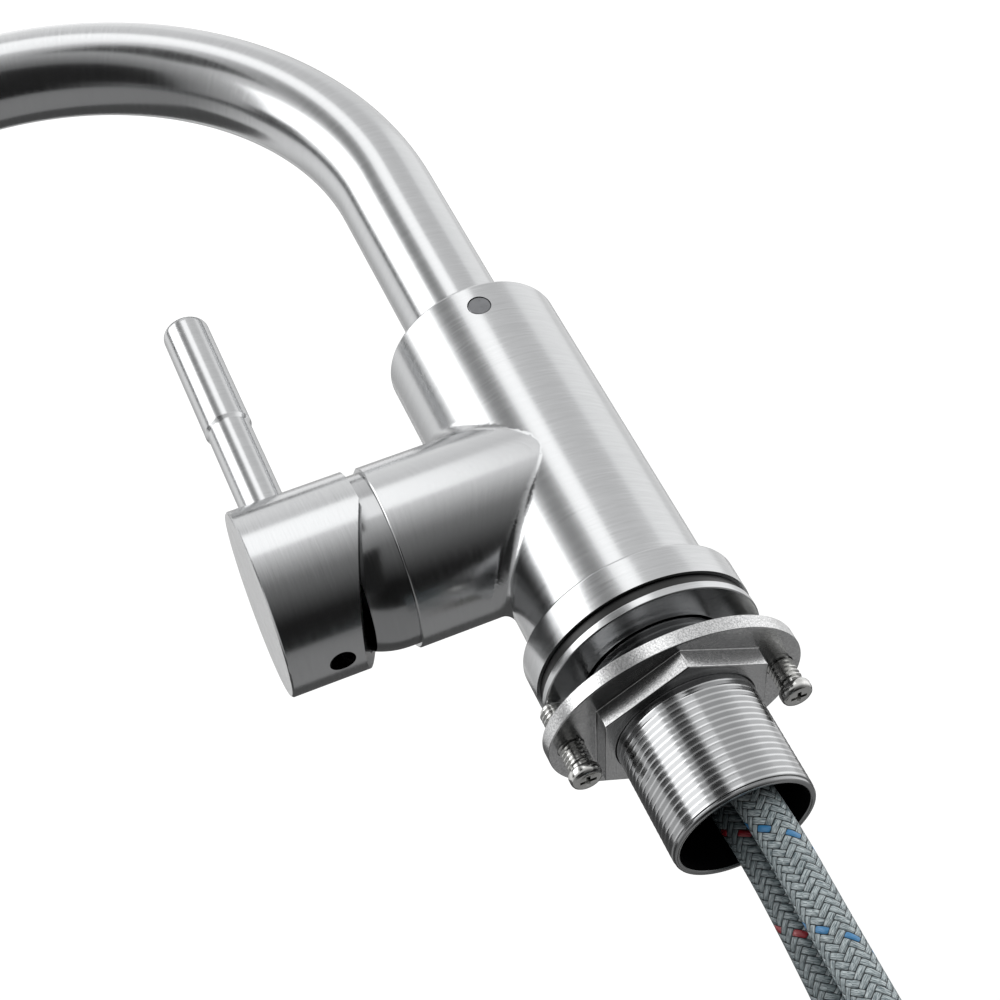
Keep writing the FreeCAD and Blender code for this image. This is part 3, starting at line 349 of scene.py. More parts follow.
def plaited_sleeve(name, ribbon_light, ribbon_dark, tracer, turn, shift):
    """Flat braid of bright yarn with dark gaps; turn and shift say where its one tracer lies."""
    finish, shader, add = new_finish(name, {"Roughness": 0.3, "Specular IOR Level": 0.8})
    uv = add("ShaderNodeUVMap", uv_map="UVMap")
    place = add("ShaderNodeSeparateXYZ", [uv.outputs["UV"]])
    around = add(MATH, [place.outputs["X"], RIBBONS, turn], operation="MULTIPLY_ADD")
    rows = add(MATH, [place.outputs["Y"], 1 / PLAIT_PITCH, shift], operation="MULTIPLY_ADD")
    falling = add(MATH, [rows, around], operation="ADD")
    rising = add(MATH, [rows, around], operation="SUBTRACT")
    fall_ribbon, rise_ribbon = [add(MATH, [run], operation="FLOOR") for run in (falling, rising)]
    fall_part, rise_part = [add(MATH, [run], operation="FRACT") for run in (falling, rising)]

    # Which ribbon lies on top, and how far across and along its float a spot is.
    crossing = add(MATH, [fall_ribbon, rise_ribbon], operation="SUBTRACT")
    order = add(MATH, [crossing, REPEAT], operation="FLOORED_MODULO")
    fall_on_top = add(MATH, [order, TOP_HALF], operation="LESS_THAN")
    width = add(MIX, {"Factor": fall_on_top, "A": rise_part, "B": fall_part})
    fall_run = add(MATH, [rise_part, order], operation="SUBTRACT")
    rise_run = add(MATH, [fall_part, order], operation="ADD")
    fall_length = add(MATH, [fall_run, 0.5, 0.5], operation="MULTIPLY_ADD")
    rise_length = add(MATH, [rise_run, 0.5, -1.0], operation="MULTIPLY_ADD")
    length = add(MIX, {"Factor": fall_on_top, "A": rise_length, "B": fall_length})
    ribbon = add(MIX, {"Factor": fall_on_top, "A": rise_ribbon, "B": fall_ribbon})

    # The float's round top, which dips at its sides and ends.
    humps = []
    for run, flatness in ((width, RIBBON_FLATNESS), (length, FLOAT_FLATNESS)):
        half_turn = add(MATH, [run, math.pi], operation="MULTIPLY")
        hump = add(MATH, [half_turn], operation="SINE")
        humps.append(add(MATH, [hump, flatness], operation="POWER"))
    body = add(MATH, humps, operation="MULTIPLY")

    # Filaments, drawn out along the float and different on each one.
    yarn_length = add(MATH, [length, FILAMENTS_ALONG], operation="MULTIPLY")
    yarn_width = add(MATH, [width, FILAMENTS_ACROSS], operation="MULTIPLY")
    yarn_number = add(MATH, [crossing, FLOAT_SEED, ribbon], operation="MULTIPLY_ADD")
    yarn = add("ShaderNodeCombineXYZ", {"X": yarn_length, "Y": yarn_width, "Z": yarn_number})
    filaments = add(NOISE, {"Vector": yarn, "Scale": 1.0, "Detail": 1.0})
    height = add(MATH, [filaments, FILAMENT_RELIEF, body], operation="MULTIPLY_ADD")

    count = add(MATH, [fall_ribbon, RIBBONS], operation="FLOORED_MODULO")
    first = add(MATH, [count, 0.5], operation="LESS_THAN")
    marked = add(MATH, [first, fall_on_top], operation="MULTIPLY")

    low, high = FILAMENT_TONES
    tone = add(RANGE, {"Value": filaments, "From Min": low, "From Max": high})
    shade = add(MIX, {"Factor": tone, "A": linear(ribbon_dark), "B": linear(ribbon_light)}, data_type="RGBA")
    dyed = add(MIX, {"Factor": marked, "A": shade, "B": linear(tracer)}, data_type="RGBA")
    low, high = GAP_EDGE
    gap = add(RANGE, {"Value": body, "From Min": low, "From Max": high})
    colour = add(MIX, {"Factor": gap, "A": linear(GAP_COLOUR), "B": dyed}, data_type="RGBA")
    bump = add(BUMP, {"Height": height, "Distance": PLAIT_RELIEF})
    feed(shader, {"Base Color": colour, "Normal": bump})
    return finish


sleeves = {
    "cold": plaited_sleeve("plaited_sleeve_blue_tracer", "#d6e2e4", "#5c6f76", "#3f92cc",
                           turn=1.2, shift=4.1),
    # The hot sleeve's ribbons are a darker grey than the cold one's: painted shade, for the shadow that the
    # shank and the cold hose cast on it.
    "hot": plaited_sleeve("plaited_sleeve_red_tracer_painted_shade", "#98a5a8", "#39464c", "#a01a28",
                          turn=1.85, shift=6.4),
}
print("sleeves:", [sleeve.name for sleeve in sleeves.values()])

# %% Hose pieces
for side, sleeve in sleeves.items():
    nodes = (side + "_hose", side + "_hose_hank")
    dress(
        side + "_supply_hose", hose_shapes[side], "faucet_body", nodes, sleeve)

# %% [markdown]
# Most of the faucet is stainless steel that was turned or polished on a belt, so its grain runs round each
# piece. Each face corner stores how far along the piece it lies, and a noise that changes fast in that
# direction and slowly in the others draws the grain. It tilts the surface a little, which pulls reflections
# out along the axis.

# %% Brushed stainless steel
GRAIN_SPACING = 0.32 * MM
GRAIN_LENGTH = 9.0 * MM
GRAIN_RANGE = {"From Min": 0.3, "From Max": 0.7}
GRAIN_SHADE = "#7c7d7e"
LEAST_TONE = 0.82


def brushed_stainless(name, chart_colour, roughness, depth):
    """Belt-polished stainless steel: neutral grey mirror, drawn out by a fine round grain."""
    finish, shader, add = new_finish(name, {"Metallic": 1.0})
    grain = add("ShaderNodeAttribute", attribute_name="grain")
    spot = add(COORDS)
    slow = add("ShaderNodeMapping", {"Vector": spot.outputs["Object"], "Scale": [1 / GRAIN_LENGTH] * 3})
    fast = add(MATH, [grain.outputs["Fac"], GRAIN_SPACING], operation="DIVIDE")
    lines = add(
        NOISE, {"Vector": slow, "W": fast, "Scale": 1.0, "Detail": 3.0, "Roughness": 0.7},
        noise_dimensions="4D")
    tone = add(RANGE, {"Value": lines, **GRAIN_RANGE, "To Min": LEAST_TONE})
    colour = add(
        MIX, {"Factor": tone, "A": linear(GRAIN_SHADE), "B": linear(chart_colour)}, data_type="RGBA")
    gloss = add(RANGE, {"Value": lines, **GRAIN_RANGE, "To Min": roughness * 0.8, "To Max": roughness * 1.2})
    bump = add(BUMP, {"Height": lines, "Distance": depth * MM})
    feed(shader, {"Base Color": colour, "Roughness": gloss, "Normal": bump})
    return finish


def lay_grain(piece, along):
    """Stores on each face corner how far along its piece it lies, in metres."""
    grain = piece.data.attributes.new("grain", "FLOAT", "CORNER")
    corners = piece.data.loops
    for face in piece.data.polygons:
        for i in face.loop_indices:
            grain.data[i].value = along(piece.data.vertices[corners[i].vertex_index].co, face.normal)


steel = brushed_stainless("brushed_stainless_steel", "#c2c3c4", 0.2, 0.0021)
print("finish:", steel.name)

# %% [markdown]
# The welded body is a column with an arm at right angles, joined by a ground fillet. A fillet between two
# crossing tubes has no single operator, so the solid's own triangles are kept: a copy is merged, and the
# edge round the arm's mouth is made as fine as a file leaves it. Triangles would show in a mirror, so
# corners that lie on the column or the arm are shaded by the true round. The grain follows the axis of
# each tube.

# %% True rounds
ROUND_SLACK = 0.03 * MM
SAME_WAY = 0.95
SQUARE_ON = 0.9998


def true_rounds(piece, rounds):
    """Shades a cylinder by its own round and its ends by the flat; rounds are (point, axis, radius)."""
    mesh = piece.data
    flats = {}
    for face in mesh.polygons:
        if any(abs(face.normal.dot(axis)) > SQUARE_ON for point, axis, radius in rounds):
            flats.update({corner: face.normal.copy() for corner in face.vertices})
    normals = [Vector((0, 0, 0))] * len(mesh.loops)
    for face in mesh.polygons:
        for i in face.loop_indices:
            corner = mesh.loops[i].vertex_index
            if corner in flats and face.normal.dot(flats[corner]) > SAME_WAY:
                normals[i] = flats[corner]
            for point, axis, radius in rounds:
                out = mesh.vertices[corner].co - point
                out -= axis * out.dot(axis)
                outward = out.normalized()
                if abs(out.length - radius) < ROUND_SLACK and face.normal.dot(outward) > SAME_WAY:
                    normals[i] = outward
    mesh.normals_split_custom_set(normals)

# %% Welded body
COLUMN_RADIUS = 21.5 * MM
ARM_RADIUS = 21.2 * MM
ARM_HEIGHT = 48.6 * MM
ARM_REACH = 41.4 * MM
ARM_CHAMFER = 0.8 * MM
ARM_DEBURR = 0.3 * MM
EDGE_SLACK = 0.02 * MM
FILLET_REACH = 2.0 * MM
ARM_CENTRE = Vector((0, 0, ARM_HEIGHT))
UPWARD_AXIS = Vector((0, 0, 1))
FORWARD_AXIS = Vector((0, -1, 0))


def body_grain(spot, normal):
    """The grain's axis is upright on the column, and level on the arm."""
    from_column = math.hypot(spot.x, spot.y) - COLUMN_RADIUS
    return spot.y if from_column > FILLET_REACH and spot.y < 0 else spot.z


def broken_edge(shape):
    """Makes the chamfer round the arm's mouth as fine as a deburred edge."""
    for corner in shape.verts:
        reach = math.hypot(corner.co.x, corner.co.z - ARM_HEIGHT)
        from_mouth = corner.co.y + ARM_REACH
        if abs(from_mouth) < EDGE_SLACK and abs(reach - ARM_RADIUS + ARM_CHAMFER) < EDGE_SLACK:
            grow = (ARM_RADIUS - ARM_DEBURR) / reach
            corner.co.x *= grow
            corner.co.z = ARM_HEIGHT + (corner.co.z - ARM_HEIGHT) * grow
        elif abs(from_mouth - ARM_CHAMFER) < EDGE_SLACK and abs(reach - ARM_RADIUS) < EDGE_SLACK:
            corner.co.y = ARM_DEBURR - ARM_REACH
    return shape


body_shape = broken_edge(merged("body_shell"))
body = dress("welded_body", body_shape, "faucet_body", ["body_shell"], steel, 30)
lay_grain(body, body_grain)
true_rounds(body, [(ARM_CENTRE, FORWARD_AXIS, ARM_RADIUS), (ARM_CENTRE, UPWARD_AXIS, COLUMN_RADIUS)])

# %% [markdown]
# The spout is one bent tube. A ring of the tube's size is drawn up the straight leg, spun half a turn about
# the bend's centre, and drawn down to the outlet, which is how a pipe bender sees it. The wall comes last.

# %% Spout tube
TUBE_RADIUS = 12.5
TUBE_WALL = 1.2
TUBE_SIDES = 96
TUBE_FOOT = 90.0
BEND_START = 155.9
BEND_RADIUS = 90.0
BEND_STEPS = 120
OUTLET_END = 131.9


def draw_out(shape, ring, vec):
    """Extrudes a ring of edges and moves it; returns the new ring."""
    made = bmesh.ops.extrude_edge_only(shape, edges=ring)["geom"]
    corners = [g for g in made if isinstance(g, bmesh.types.BMVert)]
    bmesh.ops.translate(shape, vec=Vector(vec) * MM, verts=corners)
    return [g for g in made if isinstance(g, bmesh.types.BMEdge)]


def spout_grain(spot, normal):
    """How far along the tube's centre line a point lies."""
    start = BEND_START * MM
    radius = BEND_RADIUS * MM
    if spot.z > start:
        return start + radius * math.atan2(spot.z - start, spot.y + radius)
    return spot.z if spot.y > -radius else start + radius * math.pi + start - spot.z


tube = bmesh.new()
bmesh.ops.create_circle(tube, segments=TUBE_SIDES, radius=TUBE_RADIUS * MM, cap_ends=False)
bmesh.ops.translate(tube, vec=(0, 0, TUBE_FOOT * MM), verts=tube.verts)
ring = draw_out(tube, tube.edges[:], (0, 0, BEND_START - TUBE_FOOT))
bend = bmesh.ops.spin(
    tube, geom=ring, cent=(0, -BEND_RADIUS * MM, BEND_START * MM), axis=(1, 0, 0), angle=math.pi,
    steps=BEND_STEPS)
ring = [g for g in bend["geom_last"] if isinstance(g, bmesh.types.BMEdge)]
draw_out(tube, ring, (0, 0, OUTLET_END - BEND_START))
bmesh.ops.remove_doubles(tube, verts=tube.verts, dist=WELD_GAP)
bmesh.ops.recalc_face_normals(tube, faces=tube.faces)
bmesh.ops.solidify(tube, geom=tube.faces[:], thickness=TUBE_WALL * MM)
spout = dress("spout_pipe", tube, "spout", ["spout_tube"], steel)
lay_grain(spout, spout_grain)

# %% [markdown]
# The handle is a drilled steel cap that swings over a polished dome, with a round lever screwed into its
# top. The cap keeps its solid's triangles, because its slanted rim and its ball socket come from there.
# The dome and the lever are lathe work.

# %% Handle cap
CAP_RADIUS = 21.6 * MM
END_FACE = 0.9


def cap_grain(spot, normal):
    """The grain runs round the cap, and in rings on its end face."""
    return spot.y if abs(normal.y) < END_FACE else math.hypot(spot.x, spot.z - ARM_HEIGHT)


cap_shape = merged("handle_cap")
cap = dress("handle_cap_shell", cap_shape, "handle", ["handle_cap"], steel, 30)
lay_grain(cap, cap_grain)
true_rounds(cap, [(ARM_CENTRE, FORWARD_AXIS, CAP_RADIUS)])

# %% Dome cover
DOME_RADIUS = 20.15
DOME_INSIDE = 19.0
PIVOT_OUT = 43.0
DOME_START = 41.4
DOME_END = 51.0
FORWARD = Matrix.Rotation(math.pi / 2, 4, "X")


def dome_arc(radius, points=14):
    """Points of the ball's outline from its widest ring to the cover's mouth."""
    last = math.asin((DOME_END - PIVOT_OUT) / radius)
    angles = [last * i / (points - 1) for i in range(points)]
    return [(radius * math.cos(a), PIVOT_OUT + radius * math.sin(a)) for a in angles]


outside = [(DOME_RADIUS, DOME_START)] + dome_arc(DOME_RADIUS)
inside = [(DOME_INSIDE, DOME_START)] + dome_arc(DOME_INSIDE)
dome_shape = turned(outside + inside[::-1], (0, 0, ARM_HEIGHT / MM), FORWARD)
# The dome's steel is a darker grey than the rest: painted shade, for the shadow between the arm's mouth and
# the cap's rim.
dome_painted_shade = brushed_stainless("polished_dome_painted_shade", "#aeafb0", 0.18, 0.001)
dome = dress("dome_collar", dome_shape, "faucet_body", ["dome_cover"], dome_painted_shade)
lay_grain(dome, lambda spot, normal: spot.y)

# %% Lever
LEVER_OUT = -61.9
STUD_RADIUS = 3.0
STUD_END = 61.4
GRIP_RADIUS = 5.7
GRIP_TOP = 134.3
TIP_ROUND = 2.2
NECK_RADIUS = 5.25
NECK_LOW = 69.4
STEP_LOW = 98.6
STEP_HIGH = 99.3
HOLD = 0.4
LEVEL_FACE = 0.8


def rounded_top(radius, top, edge, steps):
    """A lathe outline's quarter round from a wall to a top, without its first point."""
    angles = [math.pi / 2 * i / steps for i in range(1, steps + 1)]
    return [(radius + edge * (math.cos(a) - 1), top + edge * (math.sin(a) - 1)) for a in angles]


# Rows at a short hold from each bend keep its soft shading from running down the bar.
tip_low = GRIP_TOP - TIP_ROUND
lever_outline = [
    (0, STUD_END), (STUD_RADIUS, STUD_END), (STUD_RADIUS, NECK_LOW), (NECK_RADIUS, NECK_LOW),
    (NECK_RADIUS, STEP_LOW - HOLD), (NECK_RADIUS, STEP_LOW), (GRIP_RADIUS, STEP_HIGH),
    (GRIP_RADIUS, STEP_HIGH + HOLD), (GRIP_RADIUS, tip_low - HOLD), (GRIP_RADIUS, tip_low),
    *rounded_top(GRIP_RADIUS, GRIP_TOP, TIP_ROUND, 8), (0, GRIP_TOP),
]
lever_shape = turned(lever_outline, (0, LEVER_OUT, 0), closed=False)
lever = dress("lever_bar", lever_shape, "handle", ["lever_rod"], steel, 50)
lay_grain(lever, lambda spot, normal: spot.z if abs(normal.z) < LEVEL_FACE else spot.y)

# %% [markdown]
# Round the column's foot sits a turned ring with a soft top edge, over a black rubber gasket that seals on
# the deck. Rubber is dull black with a faint bloom, and a moulded edge that is never quite sharp.

# %% Foot ring
RING_INSIDE = 21.52
RING_RADIUS = 25.2
RING_LOW = 2.5
RING_TOP = 10.5
RING_ROUND = 0.8
ring_outline = [
    (RING_INSIDE, RING_LOW), (RING_RADIUS, RING_LOW), (RING_RADIUS, RING_TOP - RING_ROUND),
    *rounded_top(RING_RADIUS, RING_TOP, RING_ROUND, 6), (RING_INSIDE, RING_TOP),
]
foot_shape = turned(ring_outline)
foot = dress("foot_ring", foot_shape, "faucet_body", ["base_ring"], steel, 28)
lay_grain(foot, lambda spot, normal: spot.z if abs(normal.z) < LEVEL_FACE else math.hypot(spot.x, spot.y))

# %% Moulded rubber
def grained(name, dark, light, grain, constants, detail=3.0, octaves=0.5, gloss=None, relief=None):
    """A finish whose colour, gloss and relief follow one noise; its grain and depth are in millimetres."""
    finish, shader, add = new_finish(name, constants)
    spot = add(COORDS).outputs["Object"]
    noise = add(NOISE, {"Vector": spot, "Scale": 1 / (grain * MM), "Detail": detail, "Roughness": octaves})
    colour = add(MIX, {"Factor": noise, "A": dark, "B": light}, data_type="RGBA")
    made = {"Base Color": colour}
    if gloss:
        low, high = gloss
        made["Roughness"] = add(RANGE, {"Value": noise, "To Min": low, "To Max": high})
    if relief:
        strength, depth = relief
        made["Normal"] = add(BUMP, {"Height": noise, "Strength": strength, "Distance": depth * MM})
    feed(shader, made)
    return finish


def flat_ring(inner, outer, low, high, soft):
    """A ring with a square section and softened edges, in millimetres."""
    return turned([(inner, low), (outer, low), (outer, high), (inner, high)], soft=soft)


# Nitrile rubber, moulded: near black, with a soft sheen and a fine dusty grain.
rubber = grained(
    "moulded_black_rubber", linear("#070707"), linear("#161616"), 0.4, {"Specular IOR Level": 0.5},
    gloss=(0.26, 0.5), relief=(0.3, 0.02))
gasket_shape = flat_ring(inner=16.0, outer=24.3, low=0.0, high=2.5, soft=0.45)
gasket = dress("rubber_gasket", gasket_shape, "faucet_body", ["deck_gasket"], rubber)
even_shading(gasket)

# %% [markdown]
# Under the deck everything hangs on the threaded shank. Its fine thread is rolled, so the lathe's smooth
# wall is raised a little wherever a corner lies near the helix. Its colour follows the same helix: a painted
# highlight along the crests and painted shade in the grooves. The bore inside is painted near black: painted
# shade for the shadow inside the shank.

# %% Rolled thread
SHANK_BORE = 14.5
SHANK_WALL = 15.97
SHANK_CREST = 16.0
SHANK_PITCH = 1.5
SHANK_TOP = 16.0
WALL_SLACK = 0.001
THREAD_LOW = -43.1
THREAD_HIGH = 2.0
RIDGE_SHARE = 0.5
CREST_HIGHLIGHT_RANGE = {"From Min": 0.04, "From Max": 0.24, "To Min": 1.0, "To Max": 0.0}
WEAR_SIZE = 3.0 * MM


def rolled_steel(name, crest_highlight_colour, groove_shade_colour, roughness):
    """Stainless steel with a rolled thread: painted highlight along the crests, painted shade in the
    grooves.
    """
    finish, shader, add = new_finish(name, {"Metallic": 1.0})
    spot = add(COORDS).outputs["Object"]
    place = add("ShaderNodeSeparateXYZ", [spot]).outputs
    bearing = add(MATH, [place["Y"], place["X"]], operation="ARCTAN2")
    turns = add(MATH, [bearing, 2 * math.pi], operation="DIVIDE")
    pitches = add(MATH, [place["Z"], SHANK_PITCH * MM], operation="DIVIDE")
    climb = add(MATH, [pitches, turns], operation="SUBTRACT")
    phase = add(MATH, [climb], operation="FRACT")
    aside = add(MATH, [phase, 0.5], operation="SUBTRACT")
    off = add(MATH, [aside], operation="ABSOLUTE")
    # Painted highlight along each crest of the helix, and painted shade down each groove.
    crest_highlight = add(RANGE, {"Value": off, **CREST_HIGHLIGHT_RANGE})
    colour = add(
        MIX, {"Factor": crest_highlight, "A": linear(groove_shade_colour), "B": linear(crest_highlight_colour)}, data_type="RGBA")
    wear = add(NOISE, {"Vector": spot, "Scale": 1 / WEAR_SIZE, "Detail": 4.0})
    gloss = add(RANGE, {"Value": wear, "To Min": roughness * 0.7, "To Max": roughness * 1.3})
    feed(shader, {"Base Color": colour, "Roughness": gloss})
    return finish


def roll_thread(shape):
    """Raises a narrow ridge along a helix on the shank's wall; it fades in over the first pitch."""
    for corner in shape.verts:
        reach = math.hypot(corner.co.x, corner.co.y)
        height = corner.co.z / MM
        if abs(reach / MM - SHANK_WALL) > WALL_SLACK or not THREAD_LOW <= height <= THREAD_HIGH:
            continue
        phase = (height / SHANK_PITCH - math.atan2(corner.co.y, corner.co.x) / (2 * math.pi)) % 1.0
        off = min(abs(phase - 0.5) / (RIDGE_SHARE / 2), 1.0)
        grown = min((height - THREAD_LOW) / SHANK_PITCH, 1.0)
        rise = (SHANK_CREST - SHANK_WALL) * grown * math.cos(off * math.pi / 2) ** 2
        corner.co.xy *= 1 + rise / SHANK_WALL


threaded = rolled_steel("rolled_stainless_thread", "#bcbdbe", "#8e8f90", 0.17)
print("finish:", threaded.name)

# %% Threaded shank
SHANK_NOSE = [
    (SHANK_BORE, -43.95), (14.6, -44.18), (14.85, -44.35), (15.1, -44.4), (15.45, -44.34),
    (15.72, -44.18), (15.86, -43.92), (15.88, -43.6), (15.7, -43.45), (15.7, -43.3),
]
ROWS_PER_PITCH = 12
BORE_SLACK = 0.03


def plain_metal(name, chart_colour, shadow_colour, roughness, wear):
    """Machined or plated metal: smooth, with faint tool marks and handling wear a few millimetres wide."""
    return grained(
        name, linear(shadow_colour), linear(chart_colour), wear, {"Metallic": 1.0}, detail=4.0, octaves=0.6,
        gloss=(roughness * 0.7, roughness * 1.3), relief=(0.4, 0.004))


thread_tall = THREAD_HIGH - THREAD_LOW
wall_rows = round(thread_tall / SHANK_PITCH * ROWS_PER_PITCH)
shank_wall = [(SHANK_WALL, THREAD_LOW + thread_tall * i / wall_rows) for i in range(wall_rows + 1)]
shank_top = [(SHANK_WALL, SHANK_TOP), (SHANK_BORE, SHANK_TOP)]
shank_shape = turned(SHANK_NOSE + shank_wall + shank_top, steps=96)
roll_thread(shank_shape)
shank = dress(
    "threaded_shank", shank_shape, "faucet_body", ["mounting_shank"], threaded, 50)
# The bore's near-black steel is painted shade, for the shadow inside the shank.
shank.data.materials.append(plain_metal("painted_shade_bore", "#1c1d1f", "#0c0d0e", 0.6, 2.0))
for face in shank.data.polygons:
    if math.hypot(face.center.x, face.center.y) < (SHANK_BORE + BORE_SLACK) * MM:
        face.material_index = 1

# %% [markdown]
# The clamp washer is stamped from sheet, so its edge is bright and its faces are satin. The oval flange nut
# under it is an investment casting that was bead blasted: light grey, grainy to the eye and soft at every
# edge. Its solid's triangles are dissolved into whole flat faces first, so that only true edges are rounded.

# %% Clamp washer
washer_shape = flat_ring(inner=16.5, outer=25.1, low=-2.0, high=0.0, soft=0.35)
washer = dress("deck_washer", washer_shape, "washer", ["clamp_washer"], steel)
lay_grain(washer, lambda spot, normal: spot.x if abs(normal.z) > LEVEL_FACE else spot.z)
even_shading(washer)

# %% Bead-blasted casting
GRIT_SIZE = 0.36 * MM
GRIT_RELIEF = 0.008 * MM
CLOUD_SIZE = 7.0 * MM
FLAT_TURN = math.radians(1)


def blasted_casting(name, chart_colour, shadow_colour):
    """Investment-cast steel, bead blasted: bright grey, soft mirror, a fine grit."""
    finish, shader, add = new_finish(name, {"Metallic": 1.0})
    spot = add(COORDS).outputs["Object"]
    grit = add(NOISE, {"Vector": spot, "Scale": 1 / GRIT_SIZE, "Detail": 2.0, "Roughness": 0.6})
    cloud = add(NOISE, {"Vector": spot, "Scale": 1 / CLOUD_SIZE, "Detail": 3.0})
    speck = add(RANGE, {"Value": grit, "From Min": 0.2, "From Max": 0.8})
    colour = add(
        MIX, {"Factor": speck, "A": linear(shadow_colour), "B": linear(chart_colour)}, data_type="RGBA")
    gloss = add(RANGE, {"Value": cloud, "To Min": 0.2, "To Max": 0.28})
    bump = add(BUMP, {"Height": grit, "Strength": 0.6, "Distance": GRIT_RELIEF})
    feed(shader, {"Base Color": colour, "Roughness": gloss, "Normal": bump})
    return finish


def eased(node, width=0.35, turn=40):
    """A solid with whole flat faces and softened edges."""
    shape = merged(node)
    bmesh.ops.dissolve_limit(shape, angle_limit=FLAT_TURN, verts=shape.verts, edges=shape.edges)
    return soften(shape, width, turn)


blasted = blasted_casting("bead_blasted_casting", "#e2e2e2", "#949596")
nut = dress("cast_flange_nut", eased("flange_nut"), "nut", ["flange_nut"], blasted, 40)
even_shading(nut)

# %% [markdown]
# Two nickel-plated clamp screws pass through the flange and bear on the washer. Each has a coarse thread: a
# ridge wound on a core, spun round the axis while it climbs one pitch a turn, with both ends closed. The pan
# head has a cross recess, which is two slots taken out of it, as the punch leaves it.

# %% Wound thread
SCREW_CORE = 2.4
SCREW_CREST = 2.9
SCREW_PITCH = 1.0
WIND_STEPS = 32
CREST_FLAT = 0.2
TURN_GAP = 0.01
RIDGE_SINK = 0.1
LEAD_IN = 1.0


def wound_ridge(start, end, out):
    """The thread's ridge as a closed shape, in millimetres; it grows to its full height over a lead-in."""
    count = round(((end - start) / SCREW_PITCH - 1) * WIND_STEPS)
    root = SCREW_CORE - RIDGE_SINK
    flank = (1 - 2 * TURN_GAP - CREST_FLAT) / 2
    section = [
        (root, TURN_GAP), (SCREW_CREST, flank), (SCREW_CREST, flank + CREST_FLAT), (root, 1 - TURN_GAP),
    ]
    shape = bmesh.new()
    corners = [shape.verts.new((r * MM, 0, (start + h * SCREW_PITCH) * MM)) for r, h in section]
    lines = [shape.edges.new(pair) for pair in zip(corners, corners[1:] + corners[:1])]
    bmesh.ops.spin(
        shape, geom=corners + lines, cent=(0, 0, 0), axis=(0, 0, 1), steps=count,
        angle=2 * math.pi * count / WIND_STEPS, dvec=(0, 0, SCREW_PITCH / WIND_STEPS * MM))
    ends = [e for e in shape.edges if len(e.link_faces) == 1]
    bmesh.ops.holes_fill(shape, edges=ends, sides=4)
    bmesh.ops.recalc_face_normals(shape, faces=shape.faces)
    for corner in shape.verts:
        grown = min((corner.co.z / MM - start) / LEAD_IN, 1.0)
        allowed = (root + (SCREW_CREST - root) * grown) * MM
        reach = math.hypot(corner.co.x, corner.co.y)
        if reach > allowed:
            corner.co.xy *= allowed / reach
    bmesh.ops.translate(shape, vec=(0, out * MM, 0), verts=shape.verts)
    return shape

# %% Cross recess
HEAD_TOP = -18.7
HEAD_LOW = -21.4
SLOT_LENGTH = 4.4
SLOT_WIDTH = 1.1
SLOT_DEPTH = 2.6
SLOT_RISE = 0.2
SLOT_TAPER = 0.62


def less(shape, *tools):
    """A shape with other shapes taken out of it."""
    blank = add_object("blank", mesh_of("blank", shape))
    spare = [blank]
    for tool in tools:
        cutter = add_object("tool", mesh_of("tool", tool))
        taken = blank.modifiers.new("taken", "BOOLEAN")
        taken.operation = "DIFFERENCE"
        taken.object = cutter
        spare.append(cutter)
    result = bmesh.new()
    result.from_mesh(evaluated(blank))
    for thing in spare:
        bpy.data.objects.remove(thing)
    return result


def slot_tool(out, crossways):
    """A tapered slot punch that stands in the head's crown."""
    tool = bmesh.new()
    bmesh.ops.create_cube(tool, size=1.0)
    sizes = (SLOT_WIDTH, SLOT_LENGTH, SLOT_DEPTH) if crossways else (SLOT_LENGTH, SLOT_WIDTH, SLOT_DEPTH)
    bmesh.ops.scale(tool, vec=[s * MM for s in sizes], verts=tool.verts)
    top = [v for v in tool.verts if v.co.z > 0]
    bmesh.ops.scale(tool, vec=(SLOT_TAPER, SLOT_TAPER, 1.0), verts=top)
    bmesh.ops.translate(tool, vec=Vector((0, out, HEAD_LOW + SLOT_RISE)) * MM, verts=tool.verts)
    return tool

# %% Clamp screws
SCREW_OUT = 24.15
SCREW_TIP = -2.0
POINT_RADIUS = 1.9
POINT_LENGTH = 0.5
THREAD_SHORT = 0.1
HEAD_OUTLINE = [
    (0, HEAD_LOW), (2.5, HEAD_LOW), (2.95, -21.32), (3.3, -21.05), (3.5, -20.6), (3.55, -20.1),
    (3.55, -19.2), (3.4, -18.85), (3.1, HEAD_TOP),
]
SHAFT_OUTLINE = [
    (SCREW_CORE, HEAD_TOP), (SCREW_CORE, SCREW_TIP - POINT_LENGTH), (POINT_RADIUS, SCREW_TIP),
    (0, SCREW_TIP),
]


def join(*shapes):
    """Several closed shapes in one bmesh."""
    whole = bmesh.new()
    for shape in shapes:
        part = mesh_of("part", shape)
        whole.from_mesh(part)
        bpy.data.meshes.remove(part)
    return whole


plated = plain_metal("bright_nickel_plate", "#d6d6d4", "#b4b4b2", 0.18, 2.0)
for side, out in (("front", -SCREW_OUT), ("rear", SCREW_OUT)):
    pin = turned(HEAD_OUTLINE + SHAFT_OUTLINE, (0, out, 0), closed=False, steps=64)
    recess = [slot_tool(out, crossways) for crossways in (False, True)]
    screw = join(less(pin, *recess), wound_ridge(HEAD_TOP, SCREW_TIP - THREAD_SHORT, out))
    dress(side + "_clamp_bolt", screw, side + "_screw", ["clamp_screw_" + side], plated, 38)

# %% [markdown]
# The hose ends are a crimped ferrule on each hose and a loose union nut at its far end, both nickel-plated
# brass. A crimp leaves a row of shallow rings. The nut has its corners turned off, and the strap that holds
# the folded hoses is woven nylon.

# %% Hose tails and ferrules
TAIL_BORE = 3.0
BORE_MIDDLE = 10.0
FERRULE_RADIUS = 6.0
FERRULE_TALL = 20.0
CRIMPS = 5
CRIMP_SINK = 0.4
CRIMP_SLOPE = 0.12
TAIL_NECK = 4.2
SEAT_RADIUS = 6.6
SEAT_LOW = 23.2
SEAT_TOP = 25.2
nickel = plain_metal("nickel_plated_brass", "#d2cfc8", "#aaa69e", 0.2, 4.0)


